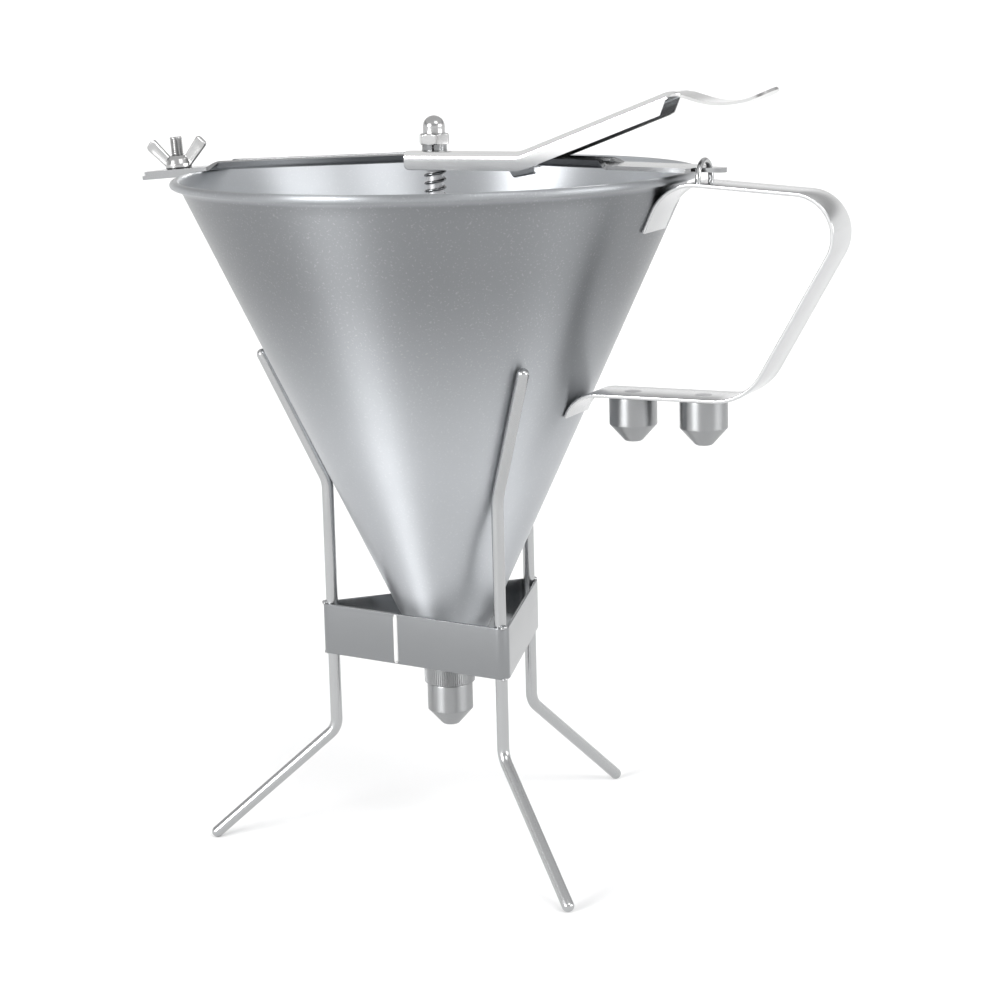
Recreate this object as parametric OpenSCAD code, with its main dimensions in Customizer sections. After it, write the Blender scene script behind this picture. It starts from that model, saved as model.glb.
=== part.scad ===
// Pancake batter dispenser: a hand-held funnel in a wire rest. A lever on the bridge
// over the funnel lifts a rod with a conical valve plug off its seat in the outlet.
// Origin: on the funnel's axis at floor level. +X points to the handle, +Z up.

/* [Funnel] */
// Outside diameter over the rolled rim
rim_d = 190; // [184:1:196]
// Height of the rim's middle above the floor
rim_h = 249.5; // [242:0.5:262]
// Half angle of the cone
cone_angle = 24.8; // [24.4:0.1:25.6]
// Thickness of the cone's sheet
sheet_t = 0.8; // [0.6:0.1:1]
// Width of the rolled rim
bead_w = 3.6; // [3.2:0.1:4.2]
// Height of the rolled rim
bead_h = 2.7; // [2.4:0.1:3]

/* [Outlet] */
// Diameter of the knurled outlet collar
collar_d = 19; // [18:0.5:22]
// Height of the knurled outlet collar
collar_h = 8.7; // [8:0.1:11]
// Number of knurl ridges
knurl_count = 36; // [24:1:48]
// Depth of the knurl
knurl_depth = 0.4; // [0.2:0.05:0.6]
// Height of the collar left below the end of the cone
seat_h = 5.2; // [4.8:0.1:5.8]
// Drop of the collar's top from where the cone is as wide as the collar
collar_set = 1; // [0.8:0.1:1.5]
// Diameter of the outlet's bore
outlet_d = 8; // [6:0.5:8]
// Diameter of the threaded spigot that carries a nozzle
spigot_d = 12; // [11:0.5:13]
// Length of the threaded spigot
spigot_l = 9; // [7:0.5:9]

/* [Nozzles] */
// Diameter of a nozzle
nozzle_d = 17; // [16:0.5:18]
// Height of a nozzle's straight part
nozzle_body_h = 10.2; // [10:0.1:12]
// Height of a nozzle's conical part
nozzle_cone_h = 6.1; // [5.5:0.1:8]
// Diameter of the flat at a nozzle's end
nozzle_tip_d = 6; // [5.5:0.1:7]
// Depth of the thread in a nozzle
nozzle_thread_l = 9.4; // [9.2:0.1:9.8]
// Half angle of the cone at the end of a nozzle's thread
nozzle_drill = 51; // [45:1:60]
// Bore of the fitted nozzle
fitted_bore = 4; // [2:0.5:5]
// Bore of the inner spare nozzle
inner_bore = 3; // [2:0.5:5]
// Bore of the outer spare nozzle
outer_bore = 5; // [2:0.5:5]

/* [Handle] */
// Width of the handle's strip
strip_w = 20; // [17:0.5:21]
// Thickness of the handle's strip
strip_t = 1.3; // [1.1:0.1:1.6]
// Depth of the cone's curve in the handle's end tabs
tab_scoop = 0.5; // [0.3:0.1:0.6]
// Height of the upper arm below the rim's middle, level with the rim's edge
arm_drop = 0.75; // [0.5:0.05:2]
// Fall of the upper arm in degrees
arm_fall = 4.1; // [2:0.1:6]
// Reach of the upper corner past the rim
grip_reach = 65.8; // [58:0.1:75]
// Reach of the lower corner past the rim
foot_reach = 25.8; // [22:0.1:32]
// Height of the lower arm below the rim's middle
lower_drop = 75.3; // [68:0.1:84]
// Length of the upper tab along the cone
upper_tab_l = 19; // [17:0.5:26]
// Length of the lower tab along the cone
lower_tab_l = 9.2; // [8.6:0.1:14]
// Bend radius at the upper tab
upper_tab_bend = 16.5; // [14:0.5:17.5]
// Bend radius at the upper corner
upper_bend = 14; // [10:0.5:16]
// Bend radius at the lower corner
lower_bend = 20; // [14:0.5:22]
// Bend radius at the lower tab
lower_tab_bend = 12; // [9:0.5:12.5]
// Distance of the outer spare nozzle from the lower corner
spare_inset = 18.7; // [16:0.1:22]
// Spacing of the two spare nozzles
spare_pitch = 26.5; // [20:0.5:28]
// Diameter of the rivet that holds a nozzle stud
rivet_d = 6; // [4:0.5:7]
// Distance of the staple from the rim
staple_reach = 8; // [6:0.5:12]
// Wire diameter of the staple
staple_wire = 2; // [1.6:0.1:2.4]
// Distance between the middles of the staple's legs
staple_w = 12.8; // [11:0.1:14]
// Top of the staple above the rim's middle
staple_top = 7.5; // [7:0.1:10]

/* [Bridge] */
// Thickness of the bridge's strip
bridge_t = 1.5; // [1.2:0.1:1.6]
// Width of the bridge where it is flat
bridge_w = 19; // [17:0.5:20]
// Width of the bridge where its edges are turned up
channel_w = 13; // [12:0.1:13.2]
// Height of the turned-up edges over the underside
channel_h = 3.3; // [2.6:0.1:3.4]
// Distance of the turned-up edges from the rim on the clamp's side
channel_inset = 4.1; // [2:0.1:6]
// Length of the turned-up edges past the lever's knee
channel_past = 34; // [26:0.5:36]
// Length over which the turned-up edges run out
run_out = 3; // [2.5:0.1:6]
// Height of the underside at the rod above the rim's middle
bridge_rise = 5; // [4.9:0.1:5.4]
// Tilt of the clamped end in degrees
clamp_tilt = 4.5; // [3:0.1:5]
// Length of the clamped end outside the rim
clamp_l = 23.6; // [21:0.1:30]
// Distance of the clamp stud from the rim
stud_reach = 13; // [12:0.5:15]
// Length of the level part on the handle's side of the rod
level_l = 20; // [15:0.5:28]
// Length of the level part past the lever's end on the clamp's side
level_past = 2; // [1:0.5:5]
// Length of the tongue's end past the staple
tongue_past = 8; // [6:0.5:14]
// Width of the tongue
tongue_w = 7; // [5:0.5:8]
// Fall of the bridge from the level part to the tongue's end
tongue_fall = 2.5; // [2:0.1:2.8]

/* [Clamp] */
// Diameter of the clamp stud
stud_d = 5; // [4:0.5:6]
// Length of the clamp stud above the bridge
stud_l = 11.9; // [9:0.1:14]
// Thickness of the rim tab
tab_t = 1.5; // [1.2:0.1:2]
// Diameter of the wing nut's body at its foot
wing_body_d = 10; // [9:0.5:12]
// Diameter of the wing nut's body at its top
wing_top_d = 7.2; // [6.8:0.1:8.8]
// Height of the wing nut's body
wing_body_h = 4.8; // [4:0.1:6]
// Span over the wing nut's wings
wing_span = 26; // [22:0.5:28]
// Height of the wing nut
wing_h = 11.4; // [10:0.1:13]
// Thickness of a wing
wing_t = 1.8; // [1.4:0.1:2.2]
// Width of a wing at its end
wing_w = 5.2; // [4:0.1:6]
// Radius of the corners at a wing's end
wing_r = 1.5; // [1:0.1:1.9]
// Height of a wing's lower edge at the body
wing_foot = 0.4; // [0.2:0.1:1]

/* [Lever] */
// Width over the lever's walls
lever_w = 16; // [15.8:0.1:17]
// Thickness of the lever's sheet
lever_t = 1; // [0.8:0.1:1.2]
// Height of the lever's walls
lever_h = 6.7; // [6.2:0.1:7.6]
// Length of the lever past the rod
lever_tail = 8.4; // [7:0.1:12]
// Distance of the knee from the rod
knee_x = 36.2; // [33:0.1:40]
// Rise of the long arm in degrees
arm_rise = 20.3; // [19:0.1:23]
// Length of the walls on the long arm
arm_l = 59.5; // [55:0.5:66]
// Bend radius at the knee
knee_bend_r = 8; // [6:0.5:12]
// Radius of the walls' lower corner at the rod's end
corner_r = 2; // [1:0.1:3]
// Slant of the walls' ends on the long arm
wall_slant = 2.5; // [1.5:0.1:6]
// Distance from the walls' end to the pad's hump
hump_l = 1; // [0.8:0.1:4]
// Turn at the pad's hump in degrees
hump_turn = 36.4; // [30:0.1:42]
// Length from the pad's hump to its dip
dip_l = 24; // [20:0.1:28]
// Turn at the pad's dip in degrees
dip_turn = 46; // [38:0.1:46.8]
// Length from the pad's dip to its tip
tip_l = 15.1; // [14.8:0.1:20]
// Bend radius at the pad's hump
hump_bend = 6.9; // [5:0.1:8]
// Bend radius at the pad's dip
dip_bend = 34; // [26:0.5:35]
// Radius of the pad's rounded tip
tip_r = 8.6; // [8.5:0.1:10]
// Width of the ear along the lever
ear_l = 9.6; // [7:0.1:10.5]
// Depth of the ear below the wall
ear_h = 2.5; // [2:0.1:4]
// Distance of the ear's middle from the knee
ear_mid = 1.9; // [1.5:0.1:2.6]
// Chamfer of the ear's corners
ear_chamfer = 1; // [0.5:0.1:1.4]
// Length of the ear's folded end
ear_fold = 2.5; // [1.5:0.1:3.5]
// Sideways play of the rod's hole in the lever
hole_play = 0.3; // [0.2:0.05:0.4]
// Extra length of the rod's hole in the lever, away from the knee
hole_run = 1.5; // [1.3:0.1:2]

/* [Valve] */
// Diameter of the valve rod
rod_d = 6; // [5:0.5:6.5]
// Length of the rod above the lever
rod_top = 8; // [7:0.1:8.4]
// Height of the valve plug's conical part
plug_h = 5; // [4:0.1:6]
// Height of the valve plug's top
plug_top_h = 2; // [1.5:0.1:3]
// Height of the plug's flat end above the outlet's bore
plug_up = 0.7; // [0.5:0.1:1.5]
// Depth of the rod's hole in the plug
plug_hole_l = 5; // [3:0.1:6]
// Wire diameter of the return spring
spring_wire = 1; // [0.6:0.05:1.1]
// Length of the return spring with the valve shut
spring_l = 21; // [18:0.5:28]
// Number of turns of the return spring
spring_turns = 7; // [5:1:8]
// Diameter of the collar under the spring
stop_d = 9; // [8.5:0.5:11]
// Height of the collar under the spring
stop_h = 2.5; // [2:0.1:4]
// Diameter of the lock washer
washer_d = 9; // [8.5:0.5:10]
// Thickness of the lock washer
washer_t = 1.9; // [1:0.05:2.2]
// Width of the lock washer's split
split_w = 0.8; // [0.5:0.1:1.5]
// Direction of the lock washer's split in degrees
split_turn = -70; // [-180:5:180]
// Width of the cap nut across its flats
nut_af = 10; // [9:0.5:10]
// Height of the cap nut's hexagon
nut_h = 3.9; // [3.4:0.1:5]
// Diameter of the cap nut's dome
dome_d = 8; // [7.8:0.1:8.6]
// Height of the dome over the hexagon
dome_h = 6.4; // [6:0.1:8]
// Turn of the cap nut in degrees
nut_turn = 4; // [0:1:59]

/* [Stand] */
// Wire diameter of the stand
leg_d = 4.4; // [3.8:0.1:5]
// Distance of the upright wires from the axis
upright_r = 43.3; // [38:0.1:47]
// Distance of the feet from the axis
foot_r = 90.7; // [82:0.1:98]
// Height of the lower bends
knee_h = 43.4; // [36:0.1:50]
// Length of each wire's rest along the cone
rest_l = 52.5; // [40:0.5:62]
// Bend radius at the lower bends
leg_bend = 8; // [5:0.5:12]
// Bend radius at the upper bends
rest_bend = 12; // [8:0.5:16]
// Direction of the left leg in degrees
left_turn = 202; // [196:1:208]
// Direction of the front leg in degrees
front_turn = 322; // [316:1:326]
// Direction of the back leg in degrees
back_turn = 70; // [64:1:76]
// Level gap between the band's upper edge and the cone
band_gap = 0.6; // [0.4:0.1:2]
// Height of the band
band_h = 19; // [14:0.5:22]
// Thickness of the band
band_t = 1; // [0.8:0.1:1.5]
// Place of the band's seam along the left-front side, as a share of its length
seam_share = 0.43; // [0.3:0.01:0.7]
// Width of the band's seam
seam_w = 0.4; // [0.2:0.1:1]

/* [Fits] */
// Radial clearance of running and threaded fits
fit = 0.05; // [0.03:0.01:0.08]
// Gap between the valve plug and its seat
plug_gap = 0.1; // [0.08:0.01:0.2]
// Gap between the funnel and the wires that it rests on
rest_gap = 0.25; // [0.2:0.01:0.4]
// Gap at welded joints
weld_gap = 0.03; // [0.02:0.01:0.05]
// Gap between the bridge's turned-up edges and the lever that rocks on them
edge_gap = 0.1; // [0.08:0.01:0.4]
// Gap between the valve rod and the return spring round it
spring_gap = 0.1; // [0.06:0.01:0.4]
// Radial clearance of the clamp stud in the bridge
stud_play = 0.25; // [0.1:0.05:0.4]

/* [Hidden] */

$fn = 96;
// Straight pieces that stand for a quarter circle in an outline
facets = 8;
over = 1;
// Overlap of the lengths that make up one bent strip or wire
lap = 0.15;
// Swelling of a strip or wire where it is bent
swell = 0.02;
rim_r = rim_d / 2;
bead_r = bead_h / 2;
bead_mid_r = rim_r - bead_r;
// Half height of the flat part of the rim, just less than the roll's
bead_flat = bead_r - lap;
wall_t = sheet_t / cos(cone_angle);
apex_z = rim_h - bead_r - (rim_r - bead_w) / tan(cone_angle);

// Outside radius of the cone at height z
function cone_r(z) = (z - apex_z) * tan(cone_angle);
// Height at which the cone has outside radius r
function cone_z(r) = apex_z + r / tan(cone_angle);
// Inside radius of the cone at height z, which the valve seat continues
function seat_r(z) = cone_r(z) - wall_t;

collar_top = cone_z(collar_d / 2) - collar_set;
collar_low = collar_top - collar_h;
cone_low = collar_low + seat_h;
outlet_top = apex_z + (outlet_d / 2 + wall_t) / tan(cone_angle);

// Points of an arc round c
function arc(c, r, from, to, steps) =
    [for (i = [0:steps]) c + r * [cos(from + (to - from) * i / steps), sin(from + (to - from) * i / steps)]];

function unit(v) = v / norm(v);
function heading(a, b) = atan2(b.y - a.y, b.x - a.x);
function wrap(a) = a - 360 * round(a / 360);
function turn_at(path, i) = wrap(heading(path[i], path[i + 1]) - heading(path[i - 1], path[i]));
// Length that the bend at point i takes from the straights beside it
function lead(path, bends, i) =
    i == 0 || i == len(path) - 1 ? 0 : bends[i] * tan(abs(turn_at(path, i)) / 2);

// A symmetric section drawn along a path in the XY plane, with a true arc at each bend.
// The first child is the section of the straights, the last one that of the bends.
module bent(path, bends) {
    for (i = [0:len(path) - 2]) {
        way = unit(path[i + 1] - path[i]);
        start = path[i] + way * lead(path, bends, i);
        run = norm(path[i + 1] - path[i]) - lead(path, bends, i) - lead(path, bends, i + 1);
        translate(start)
            rotate([90, 0, heading(path[i], path[i + 1]) + 90])
                translate([0, 0, -lap]) linear_extrude(run + 2 * lap) children(0);
    }
    for (i = [1:len(path) - 2]) {
        turn = turn_at(path, i);
        side = sign(turn);
        in = heading(path[i - 1], path[i]);
        way = [cos(in), sin(in)];
        centre = path[i] - way * lead(path, bends, i) + side * bends[i] * [-way.y, way.x];
        translate(centre)
            rotate(side > 0 ? in - 90 : in + 90 + turn)
                rotate_extrude(angle = abs(turn))
                    translate([bends[i], 0]) children($children - 1);
    }
}

// A strip of thickness t and width w bent along a path in the XY plane
module bent_strip(path, bends, t, w) {
    bent(path, bends) {
        square([t, w], center = true);
        square([t + 2 * swell, w + 2 * swell], center = true);
    }
}

// A drawing in XY stood up into XZ
module upright() {
    rotate([90, 0, 0]) children();
}

// ---- Funnel ----

module bead_ring(grow) {
    rotate_extrude()
        translate([bead_mid_r, rim_h]) circle(r = bead_r + grow);
}

module funnel_cone() {
    low = cone_low;
    top = rim_h + bead_flat;
    under = rim_h - bead_flat;
    color("silver") rotate_extrude() {
        polygon([
            [seat_r(low), low], [cone_r(low), low], [cone_r(under), under],
            [bead_mid_r, under], [bead_mid_r, top], [seat_r(top), top]
        ]);
        translate([bead_mid_r, rim_h]) circle(r = bead_r);
    }
}

module cone_solid(grow) {
    low = cone_low;
    top = rim_h - bead_r;
    translate([0, 0, low])
        cylinder(h = top - low, r1 = cone_r(low) + grow, r2 = cone_r(top) + grow);
}

module outlet_collar() {
    r = collar_d / 2;
    step = 180 / knurl_count;
    ridges = [
        for (i = [0:2 * knurl_count - 1])
            (r - (i % 2) * knurl_depth) * [cos(i * step), sin(i * step)]
    ];
    above = collar_top + over;
    below = collar_low - spigot_l - over;
    color("gray") difference() {
        union() {
            translate([0, 0, collar_low]) linear_extrude(collar_h) polygon(ridges);
            translate([0, 0, collar_low - spigot_l]) cylinder(h = spigot_l + over, d = spigot_d);
        }
        rotate_extrude()
            polygon([
                [0, below], [outlet_d / 2, below], [outlet_d / 2, outlet_top],
                [seat_r(cone_low), cone_low], [cone_r(cone_low) + weld_gap, cone_low],
                [cone_r(above) + weld_gap, above], [0, above]
            ]);
    }
}

// ---- Nozzles ----

strip_under_z = rim_h - lower_drop - strip_t / 2;
outer_spare_x = rim_r + foot_reach - spare_inset;
inner_spare_x = outer_spare_x - spare_pitch;

// A nozzle whose threaded end faces up at height z
module nozzle(x, z, bore) {
    thread_r = spigot_d / 2 + fit;
    bore_r = bore / 2;
    funnel_end = nozzle_thread_l + (thread_r - bore_r) / tan(nozzle_drill);
    length = nozzle_body_h + nozzle_cone_h;
    translate([x, 0, z - fit])
        rotate_extrude()
            polygon([
                [thread_r, 0], [nozzle_d / 2, 0], [nozzle_d / 2, -nozzle_body_h],
                [nozzle_tip_d / 2, -length], [bore_r, -length],
                [bore_r, -funnel_end], [thread_r, -nozzle_thread_l]
            ]);
}

module nozzle_fitted() {
    color("darkgray") nozzle(0, collar_low, fitted_bore);
}

module nozzle_spare_inner() {
    color("darkgray") nozzle(inner_spare_x, strip_under_z, inner_bore);
}

module nozzle_spare_outer() {
    color("darkgray") nozzle(outer_spare_x, strip_under_z, outer_bore);
}

module nozzle_studs() {
    color("gray")
        for (x = [inner_spare_x, outer_spare_x])
            translate([x, 0, strip_under_z]) {
                translate([0, 0, -spigot_l]) cylinder(h = spigot_l, d = spigot_d);
                cylinder(h = strip_t, d = rivet_d);
            }
}

// ---- Handle ----

tab_off = (strip_t / 2 - tab_scoop) / cos(cone_angle);
arm_edge_z = rim_h - arm_drop;
// Where the upper arm's line meets the tab's line, both taken at mid thickness
root_z = (arm_edge_z + tan(arm_fall) * (rim_r - tab_off + apex_z * tan(cone_angle)))
    / (1 + tan(arm_fall) * tan(cone_angle));
root = [cone_r(root_z) + tab_off, root_z];
grip_x = rim_r + grip_reach;
low_z = rim_h - lower_drop;
cone_way = [sin(cone_angle), cos(cone_angle)];
low_root = [cone_r(low_z) + tab_off, low_z];
handle_path = [
    root - upper_tab_l * cone_way,
    root,
    [grip_x, arm_edge_z - grip_reach * tan(arm_fall)],
    [rim_r + foot_reach, low_z],
    low_root,
    low_root - lower_tab_l * cone_way
];
handle_bends = [0, upper_tab_bend, upper_bend, lower_bend, lower_tab_bend, 0];

module handle_bar() {
    upright() bent_strip(handle_path, handle_bends, strip_t, strip_w);
}

module handle_strip() {
    color("gainsboro") difference() {
        handle_bar();
        cone_solid(weld_gap);
        for (x = [inner_spare_x, outer_spare_x])
            translate([x, 0, strip_under_z - over])
                cylinder(h = strip_t + 2 * over, r = rivet_d / 2 + weld_gap);
    }
}

module bridge_staple() {
    half = staple_w / 2;
    spring_z = rim_h + staple_top - staple_wire / 2 - half;
    foot_z = arm_edge_z - staple_reach * tan(arm_fall);
    color("lightgray") difference() {
        translate([rim_r + staple_reach, 0, spring_z]) {
            rotate([90, 0, 90])
                rotate_extrude(angle = 180)
                    translate([half, 0]) circle(r = staple_wire / 2 + swell);
            for (side = [-1, 1])
                translate([0, side * half, foot_z - spring_z])
                    cylinder(h = spring_z - foot_z + lap, d = staple_wire);
        }
        handle_bar();
    }
}

// ---- Bridge and clamp ----

under_z = rim_h + bridge_rise;
clamp_slope = tan(clamp_tilt);
// Height of the clamped end's underside at distance x, lying on the rolled rim
function clamp_z(x) = rim_h + (bead_r + fit) / cos(clamp_tilt) + (x + bead_mid_r) * clamp_slope;

stud_x = -(rim_r + stud_reach);
left_x = -(rim_r + clamp_l);
kink_x = -(bead_mid_r - bead_w);
level_x = -(lever_tail + level_past);
staple_x = rim_r + staple_reach;
tongue_x = staple_x + tongue_past;
shoulder_x = staple_x - staple_wire;
channel_left = -(bead_mid_r - channel_inset);
channel_right = knee_x + channel_past;

under_line = [
    [left_x, clamp_z(left_x)], [kink_x, clamp_z(kink_x)], [level_x, under_z],
    [level_l, under_z], [tongue_x, under_z - tongue_fall]
];

function lifted(line, h) = [for (p = line) p + [0, h]];
function reversed(line) = [for (i = [len(line) - 1:-1:0]) line[i]];

// Band of height h on the bridge's underside line, across the whole width w
module over_line(h, w) {
    upright()
        linear_extrude(w, center = true)
            polygon(concat(under_line, reversed(lifted(under_line, h))));
}

// The bridge's plan as half widths, mirrored
module bridge_plan() {
    flat = bridge_w / 2;
    slim = channel_w / 2;
    tongue = tongue_w / 2;
    half = concat(
        [[left_x, 0], [left_x, flat - bridge_t], [left_x + bridge_t, flat]],
        [[channel_left, flat], [channel_left + run_out, slim]],
        [[channel_right - run_out, slim], [channel_right, flat]],
        [[shoulder_x - bridge_t, flat], [shoulder_x, flat - bridge_t], [shoulder_x, tongue]],
        arc([tongue_x - tongue, 0], tongue, 90, 0, facets)
    );
    union() {
        polygon(half);
        mirror([0, 1]) polygon(half);
    }
}

// Side view of a turned-up edge, running out at both ends
module edge_side() {
    polygon([
        [channel_left + run_out / 2, rim_h - over], [channel_left + run_out, under_z + channel_h],
        [level_x, under_z + channel_h], [level_l, under_z + channel_h],
        [channel_right - run_out, under_z + channel_h], [channel_right - run_out / 2, rim_h - over]
    ]);
}

module bridge() {
    bottom = clamp_z(left_x) - over;
    top = under_z + bridge_t + over;
    color("silver") difference() {
        union() {
            intersection() {
                over_line(bridge_t, bridge_w + over);
                translate([0, 0, bottom]) linear_extrude(top - bottom) bridge_plan();
            }
            for (side = [-1, 1])
                translate([0, side * (channel_w - bridge_t) / 2, 0])
                    intersection() {
                        over_line(channel_h, bridge_t);
                        upright() linear_extrude(2 * bridge_t, center = true) edge_side();
                    }
        }
        translate([0, 0, under_z - over])
            cylinder(h = channel_h + 2 * over, r = rod_d / 2 + fit);
        at_clamp() translate([0, 0, -over])
            cylinder(h = bridge_t + 2 * over, r = stud_d / 2 + stud_play);
    }
}

// The clamp's own frame: the stud's axis up from the bridge's underside
module at_clamp() {
    translate([stud_x, 0, clamp_z(stud_x)])
        rotate([0, -clamp_tilt, 0]) children();
}

module rim_tab() {
    outer = (stud_x - left_x) / cos(clamp_tilt);
    inner = stud_reach / cos(clamp_tilt);
    color("silver") difference() {
        at_clamp() difference() {
            translate([-outer, -bridge_w / 2, -tab_t])
                cube([outer + inner, bridge_w, tab_t]);
            translate([0, 0, -tab_t - over])
                cylinder(h = tab_t + 2 * over, r = stud_d / 2 + weld_gap);
        }
        bead_ring(weld_gap);
    }
}

module clamp_stud() {
    color("gray") at_clamp()
        translate([0, 0, -tab_t]) cylinder(h = tab_t + bridge_t + stud_l, d = stud_d);
}

module wing_nut() {
    top_r = wing_top_d / 2;
    // Middles of the two round corners at the end of a wing, which leans at half a right angle
    lean = 45;
    gap = (wing_w - 2 * wing_r) * cos(lean);
    low = [wing_span / 2 - wing_r, wing_h - wing_r - gap];
    high = low + [-gap, gap];
    color("lightgray") at_clamp()
        translate([0, 0, bridge_t + fit])
            difference() {
                union() {
                    cylinder(h = wing_body_h, r1 = wing_body_d / 2, r2 = top_r);
                    for (turn = [0, 180])
                        rotate(turn) upright()
                            linear_extrude(wing_t, center = true)
                                polygon(concat(
                                    [[stud_d / 2, wing_foot], [wing_body_d / 2, wing_foot]],
                                    arc(low, wing_r, -lean, lean, facets),
                                    arc(high, wing_r, lean, 90 + lean, facets),
                                    [[top_r, wing_body_h], [stud_d / 2, wing_body_h]]
                                ));
                }
                translate([0, 0, -over]) cylinder(h = wing_h + 2 * over, r = stud_d / 2 + fit);
            }
}

// ---- Lever ----

lever_top = under_z + channel_h + edge_gap + lever_t;
deep = lever_h + ear_h;
// More than the lever's length, to cut across all of it
reach = knee_x + lever_tail + arm_l + hump_l + dip_l + tip_l;
tail_x = -(knee_x + lever_tail);
arm_way = [cos(arm_rise), sin(arm_rise)];
dip_way = [cos(arm_rise - hump_turn), sin(arm_rise - hump_turn)];
tip_angle = arm_rise - hump_turn + dip_turn;

// Middle of the lever's sheet from the rod's end to the pad's tip, seen from the side.
// The lever is drawn with its knee's upper corner at [0, 0].
knee = [lever_t / 2 * tan(arm_rise / 2), -lever_t / 2];
hump = knee + (arm_l + hump_l) * arm_way;
dip = hump + dip_l * dip_way;
tip = dip + tip_l * [cos(tip_angle), sin(tip_angle)];
lever_path = [[tail_x, knee.y], knee, hump, dip, tip];
lever_bends = [0, knee_bend_r, hump_bend, dip_bend, 0];

// The ear's folded end lies square to the line that halves the knee
ear_rise = arm_rise / 2;
ear_left = ear_mid - ear_l / 2;
ear_right = ear_mid + ear_l / 2;
ear_low = [ear_left + ear_chamfer, -deep];
ear_end = [ear_right - ear_chamfer, (ear_l - 2 * ear_chamfer) * tan(ear_rise) - deep];

// Side view of one wall; the wall on the near side has the ear below the knee
module wall_side(has_ear) {
    slope = tan(arm_rise);
    arm_low = knee.y + lever_t / 2 - lever_h / cos(arm_rise);
    foot_x = (arm_low + lever_h) / -slope;
    end = knee + arm_l * arm_way;
    ear = [[ear_left, -lever_h], ear_low, ear_end, [ear_right, arm_low + ear_right * slope]];
    polygon(concat(
        [knee, [tail_x, knee.y]],
        arc([tail_x + corner_r, corner_r - lever_h], corner_r, 180, 270, facets),
        has_ear ? ear : [[foot_x, -lever_h]],
        [[end.x - wall_slant, arm_low + (end.x - wall_slant) * slope]],
        [end]
    ));
}

// Outline that rounds the pad's tip, seen from above, in the tip's own frame
module tip_trim() {
    side = lever_w + over;
    translate([-reach, -side / 2, -reach])
        cube([reach + tip_l - tip_r, side, 2 * reach]);
    translate([tip_l - tip_r, 0, -reach])
        cylinder(h = 2 * reach, r = tip_r);
}

module lever() {
    fold_l = (ear_l - 2 * ear_chamfer - lap) / cos(ear_rise);
    color("whitesmoke") difference() {
        translate([knee_x, 0, lever_top]) {
            intersection() {
                upright() bent_strip(lever_path, lever_bends, lever_t, lever_w);
                translate([dip.x, 0, dip.y]) rotate([0, -tip_angle, 0]) tip_trim();
            }
            for (side = [-1, 1])
                translate([0, side * (lever_w - lever_t) / 2, 0])
                    upright() linear_extrude(lever_t, center = true) wall_side(side < 0);
            translate([ear_low.x, -lever_w / 2, ear_low.y]) rotate([0, -ear_rise, 0])
                translate([lap, lap, lap]) cube([fold_l - lap, ear_fold, lever_t]);
        }
        for (x = [0, -hole_run])
            translate([x, 0, lever_top - deep])
                cylinder(h = deep + over, r = rod_d / 2 + hole_play);
    }
}

// ---- Valve ----

washer_z = lever_top + fit;
nut_z = washer_z + washer_t;
plug_low = outlet_top + plug_up;
plug_rim = plug_low + plug_h;
rod_low = plug_rim + plug_top_h - plug_hole_l;
stop_top = under_z - spring_l;

module valve_rod() {
    color("gray") translate([0, 0, rod_low])
        cylinder(h = lever_top + rod_top - rod_low, d = rod_d);
}

module valve_plug() {
    hole_r = rod_d / 2 + fit;
    top = plug_rim + plug_top_h;
    color("gray") rotate_extrude()
        polygon([
            [0, plug_low], [seat_r(plug_low) - plug_gap, plug_low], [seat_r(plug_rim) - plug_gap, plug_rim],
            [rod_d / 2 + sheet_t, top], [hole_r, top], [hole_r, rod_low], [0, rod_low]
        ]);
}

module ring(low, h, d) {
    translate([0, 0, low]) difference() {
        cylinder(h = h, d = d);
        translate([0, 0, -over]) cylinder(h = h + 2 * over, r = rod_d / 2 + fit);
    }
}

module spring_collar() {
    color("gray") ring(stop_top - stop_h, stop_h, stop_d);
}

// The slice through a coil is a bent oval, which the twist carries round and up
module return_spring() {
    wire_r = spring_wire / 2;
    mid_r = rod_d / 2 + spring_gap + wire_r;
    height = spring_l - 2 * fit;
    half_turn = 360 * wire_r * spring_turns / height;
    points = 10;
    // Eighteen slices a turn keep the coil round
    slices = 18 * spring_turns;
    color("lightgray") translate([0, 0, under_z - fit - height])
        linear_extrude(height, twist = -360 * spring_turns, slices = slices, $fn = points)
            polygon([
                for (i = [0:points - 1])
                    let (t = 360 * i / points, r = mid_r + wire_r * cos(t), a = half_turn * sin(t))
                        r * [cos(a), sin(a)]
            ]);
}

module lock_washer() {
    color("lightgray") difference() {
        ring(washer_z, washer_t, washer_d);
        rotate(split_turn) translate([0, -split_w / 2, washer_z - over])
            cube([washer_d, split_w, washer_t + 2 * over]);
    }
}

module cap_nut() {
    sides = 6;
    dome_r = dome_d / 2;
    hole_l = rod_top - washer_t - fit;
    color("silver") translate([0, 0, nut_z])
        rotate(nut_turn)
            difference() {
                union() {
                    cylinder(h = nut_h, d = nut_af / cos(180 / sides), $fn = sides);
                    rotate_extrude()
                        polygon(concat(
                            [[0, nut_h / 2], [dome_r, nut_h / 2]],
                            arc([0, nut_h + dome_h - dome_r], dome_r, 0, 90, facets)
                        ));
                }
                translate([0, 0, -over]) cylinder(h = hole_l + over, r = rod_d / 2 + fit);
            }
}

// ---- Stand ----

leg_r = leg_d / 2;
cone_off = (leg_r + rest_gap) / cos(cone_angle);
rest_z = cone_z(upright_r - cone_off);
leg_path = [
    [foot_r, leg_r], [upright_r, knee_h], [upright_r, rest_z],
    [upright_r, rest_z] + rest_l * cone_way
];

module round_end(at, way) {
    translate(at) rotate([0, 90, way])
        translate([0, 0, -lap]) rotate_extrude() intersection() {
            circle(r = leg_r - swell);
            square(leg_r);
        }
}

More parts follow.
